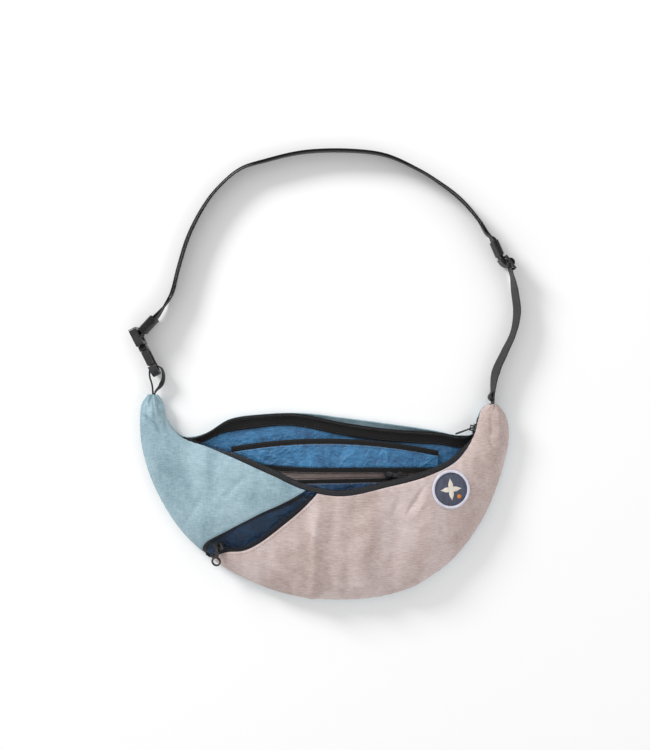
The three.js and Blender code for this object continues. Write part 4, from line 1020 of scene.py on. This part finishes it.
def strap_point(distance, side):
    angle = math.radians(STRAP_TO_HOOK)
    along = np.array([math.cos(angle), math.sin(angle)])
    p = HOOK_BAR + along * distance + np.array([-along[1], along[0]]) * side
    return (p[0], p[1], HARDWARE_LIFT, 0)


def around(radius, degrees):
    angle = math.radians(degrees)
    return (HOOK_BAR[0] + radius * math.cos(angle), HOOK_BAR[1] + radius * math.sin(angle), HARDWARE_LIFT, 0)


STRAP_ROUTE = [
    (161.6, 91.6, 2.5, 0), (161.4, 95, 2.3, 0), (161.4, 104.1, 0.3, -2), (162.3, 124.7, 0.3, -14.5),
    (171.2, 144.5, 0.3, -12), (180.6, 163.6, 0.3, -7.5), (183.4, 183, 0.3, -11.5), (181.1, 204.2, 1, -10),
    tri(-12, -5), tri(-7.2, -3), tri(-5.3, -2.4), tri(-4.3, -1.3), tri(-4, 0.3), tri(-3.3, 2.4), tri(-1.8, 3.7),
    tri(0, 4.1), tri(1.8, 3.7), tri(3.3, 2.4), tri(4, 0.3), tri(4.3, -1.3), tri(5.3, -2.3), tri(7.2, -2.55),
    tri(12, -1.26), tri(19.5, 0.54), tri(27, 2.33),
    *layer(-1, False),
    strap_point(26, 1.1), strap_point(16, 0.9), strap_point(8, 1.2), strap_point(3, 2.6),
    *(around(2.9, degrees) for degrees in (137, 167, 197, 227, 257, 287, 317)),
    strap_point(3, -2.6), strap_point(8, -1.2), strap_point(16, -0.9), strap_point(26, -1.1),
    *layer(1, True),
    tri(27, 0.53), tri(19.5, -1.26), tri(12, -3.06), tri(7.2, -4.1), tri(4.6, -3.9), tri(3, -2.6), tri(2.5, -0.6),
    tri(2.2, 1.2), tri(0, 2.5), tri(-2.2, 1.2), tri(-2.5, -0.6), tri(-2.1, -2.3), tri(-1, -3.8), tri(1.2, -5.2),
    tri(4.5, -5.7), tri(8, -5.7),
]


def webbing(name, controls, width, thick, per_span, nodes):
    """Woven strip that runs on its edge along a route, leaning by some degrees."""
    controls = np.array(controls, float)
    steps = (len(controls) - 1) * per_span
    share = np.linspace(0, 1, steps + 1)
    point = spline(controls[:, :3], share)
    lean = np.radians(np.interp(share, np.linspace(0, 1, len(controls)), controls[:, 3]))[:, None]
    along = unit(np.gradient(point, axis=0) * (1, 1, 0))
    side = np.stack([-along[:, 1], along[:, 0], 0 * along[:, 0]], -1)
    tall = side * np.sin(lean) + UP * np.cos(lean)
    thin = side * np.cos(lean) - UP * np.sin(lean)
    turn, cosine, sine = squared_ring(WEB_SIDES, 0.4)
    across, upward = cosine * thick / 2, (sine + 1) * width / 2
    rings = point[:, None] + across[None, :, None] * thin[:, None] + upward[None, :, None] * tall[:, None]
    uv = np.stack([np.repeat(distances(point), WEB_SIDES), np.tile(upward, len(point))], -1)
    make_piece(name, *tube(rings), WEBBING, nodes=nodes, uv=uv)


STRAP_FOLD = [
    (160.9, 106, 5, 0), (159.6, 103.6, 5, 0), (158.2, 101.6, 5, 0), (158.4, 98.8, 5, 0), (160.4, 96.9, 5, 0),
]
TIP_LOOP = [
    (-167.2, 98, 4.5, 0), (-166.4, 104.6, 5, 0), (-167, 113, 7, 0), (-169, 121, 8.2, 0),
    (-168.4, 127.6, 8.3, 0), (-163.2, 131, 8.3, 0), (-157.4, 128.6, 8.3, -6), (-154.6, 120.6, 8.2, -20),
    (-156.8, 112.1, 6.5, -30), (-164.4, 104.6, 5, 0), (-164.9, 98, 4.5, 0),
]
webbing("shoulder_webbing", STRAP_ROUTE, WEB_WIDTH, WEB_THICK, 10, ["strap_webbing"])
webbing("strap_end_fold", STRAP_FOLD, 13, 1.3, 10, [])
webbing("tip_loop_webbing", TIP_LOOP, LOOP_WIDTH, 1.0, 12, ["left_tip_loop"])


def keeper(name, start, end, thick, inner, body, node):
    """Ribbed sleeve round the doubled strap; thick and inner are its outer and inner widths."""
    start, end = np.array(start[:2]), np.array(end[:2])
    run = end - start
    length = np.linalg.norm(run)
    along = np.append(run / length, 0)
    side = np.array([-along[1], along[0], 0])
    travel = np.linspace(0, length, 97)
    ribs = 0.5 - 0.5 * np.cos(travel / length * 2 * np.pi * KEEPER_RIBS)
    ends = np.clip(np.minimum(travel, travel[::-1]) / 0.8, 0, 1) ** 0.5
    turn, cosine, sine = squared_ring(KEEPER_SIDES, 0.45)
    swell_out = (0.55 * ribs + 0.6 * ends)[:, None]
    wide = (thick / 2 - 1.0 + swell_out) * cosine[None]
    tall = KEEPER_MIDDLE + (12.4 - 1.0 + swell_out) * sine[None]
    base = np.append(start, 0)[None] + travel[:, None] * along[None]
    outer = base[:, None] + wide[..., None] * side + tall[..., None] * UP
    wide_in, tall_in = inner / 2 * cosine, KEEPER_MIDDLE + 10.6 * sine
    inside = base[:, None] + wide_in[None, :, None] * side + tall_in[None, :, None] * UP
    rings = np.concatenate([outer, inside[::-1]])
    round_it = np.tile(KEEPER_MIDDLE * turn, len(rings))
    uv = np.stack([round_it, np.repeat(np.concatenate([travel, travel[::-1]]), KEEPER_SIDES)], -1)
    make_piece(name, *tube(rings, closed=True), WEBBING, body, [node], uv)


keeper("keeper_sleeve_left", strap_point(6.5, 0), strap_point(24.5, 0), 8.2, 4.8, "left_keeper", "keeper_left")
keeper("keeper_sleeve_right", tri(10.5, -2.55), tri(25.5, 1.05), 6.4, 4.4, "right_keeper", "keeper_right")

# ------ hard parts
softened("triglide", PLASTIC, 0.9, "root", 3)
softened("hook_swivel_base", PLASTIC, 1.5, "root", 3)
softened("hook_body", PLASTIC, 1.4, "hook", 3)
softened("hook_gate", PLASTIC, 1.2, "gate", 3)
for zip_name in ("main_zip", "pocket_zip", "inner_zip"):
    softened(f"{zip_name}_slider", METAL, 0.28, f"{zip_name}_slider_body")
    softened(f"{zip_name}_pull", PLASTIC, 0.45, f"{zip_name}_pull_body", 3)
for node in ("main_zip_bottom_stop", "main_zip_top_stop_back", "main_zip_top_stop_front", "pocket_zip_bottom_stop"):
    softened(node, METAL, 0.35, "root")

# ------ studio
FLOOR_REACH, FLOOR_LEVEL = 4, -0.0002  # metres
CORNERS = ((-1, -1), (1, -1), (1, 1), (-1, 1))
floor_mesh = bpy.data.meshes.new("floor")
floor_corners = [(x * FLOOR_REACH, y * FLOOR_REACH, FLOOR_LEVEL) for x, y in CORNERS]
floor_mesh.from_pydata(floor_corners, [], [(0, 1, 2, 3)])
paper = bpy.data.materials.new("floor_paper")
paper.use_nodes = True
shader = paper.node_tree.nodes["Principled BSDF"].inputs
shader["Base Color"].default_value = (0.97, 0.97, 0.97, 1)
shader["Roughness"].default_value = 0.9
floor_mesh.materials.append(paper)
floor = bpy.data.objects.new("floor", floor_mesh)
add_to_scene(floor)


def area_light(name, where, size, watts):
    """A round soft light that looks at the middle of the object."""
    lamp = bpy.data.lights.new(name, "AREA")
    lamp.shape = "DISK"
    lamp.size = size
    lamp.energy = watts
    made = bpy.data.objects.new(name, lamp)
    made.location = where
    made.rotation_euler = (Vector(LIGHT_AIM) - Vector(where)).to_track_quat("-Z", "Y").to_euler()
    add_to_scene(made)


LIGHT_AIM = (0, 0.1, 0)
SKY_STRENGTH = 0.68
area_light("key", (-1.4, 1.4, 1.0), 0.7, 33)
area_light("fill", (1.3, -0.5, 1.5), 1.4, 5)
world = bpy.data.worlds.new("studio")
world.use_nodes = True
background = world.node_tree.nodes["Background"]
background.inputs["Color"].default_value = (1, 1, 1, 1)
background.inputs["Strength"].default_value = SKY_STRENGTH
bpy.context.scene.world = world
bpy.context.scene.view_settings.view_transform = "Standard"

camera_data = bpy.data.cameras.new("camera")
camera_data.lens = 54.2
camera_data.sensor_width = 36
camera = bpy.data.objects.new("camera", camera_data)
camera.location = (0, 0.122, 1.1)
add_to_scene(camera)
bpy.context.scene.camera = camera
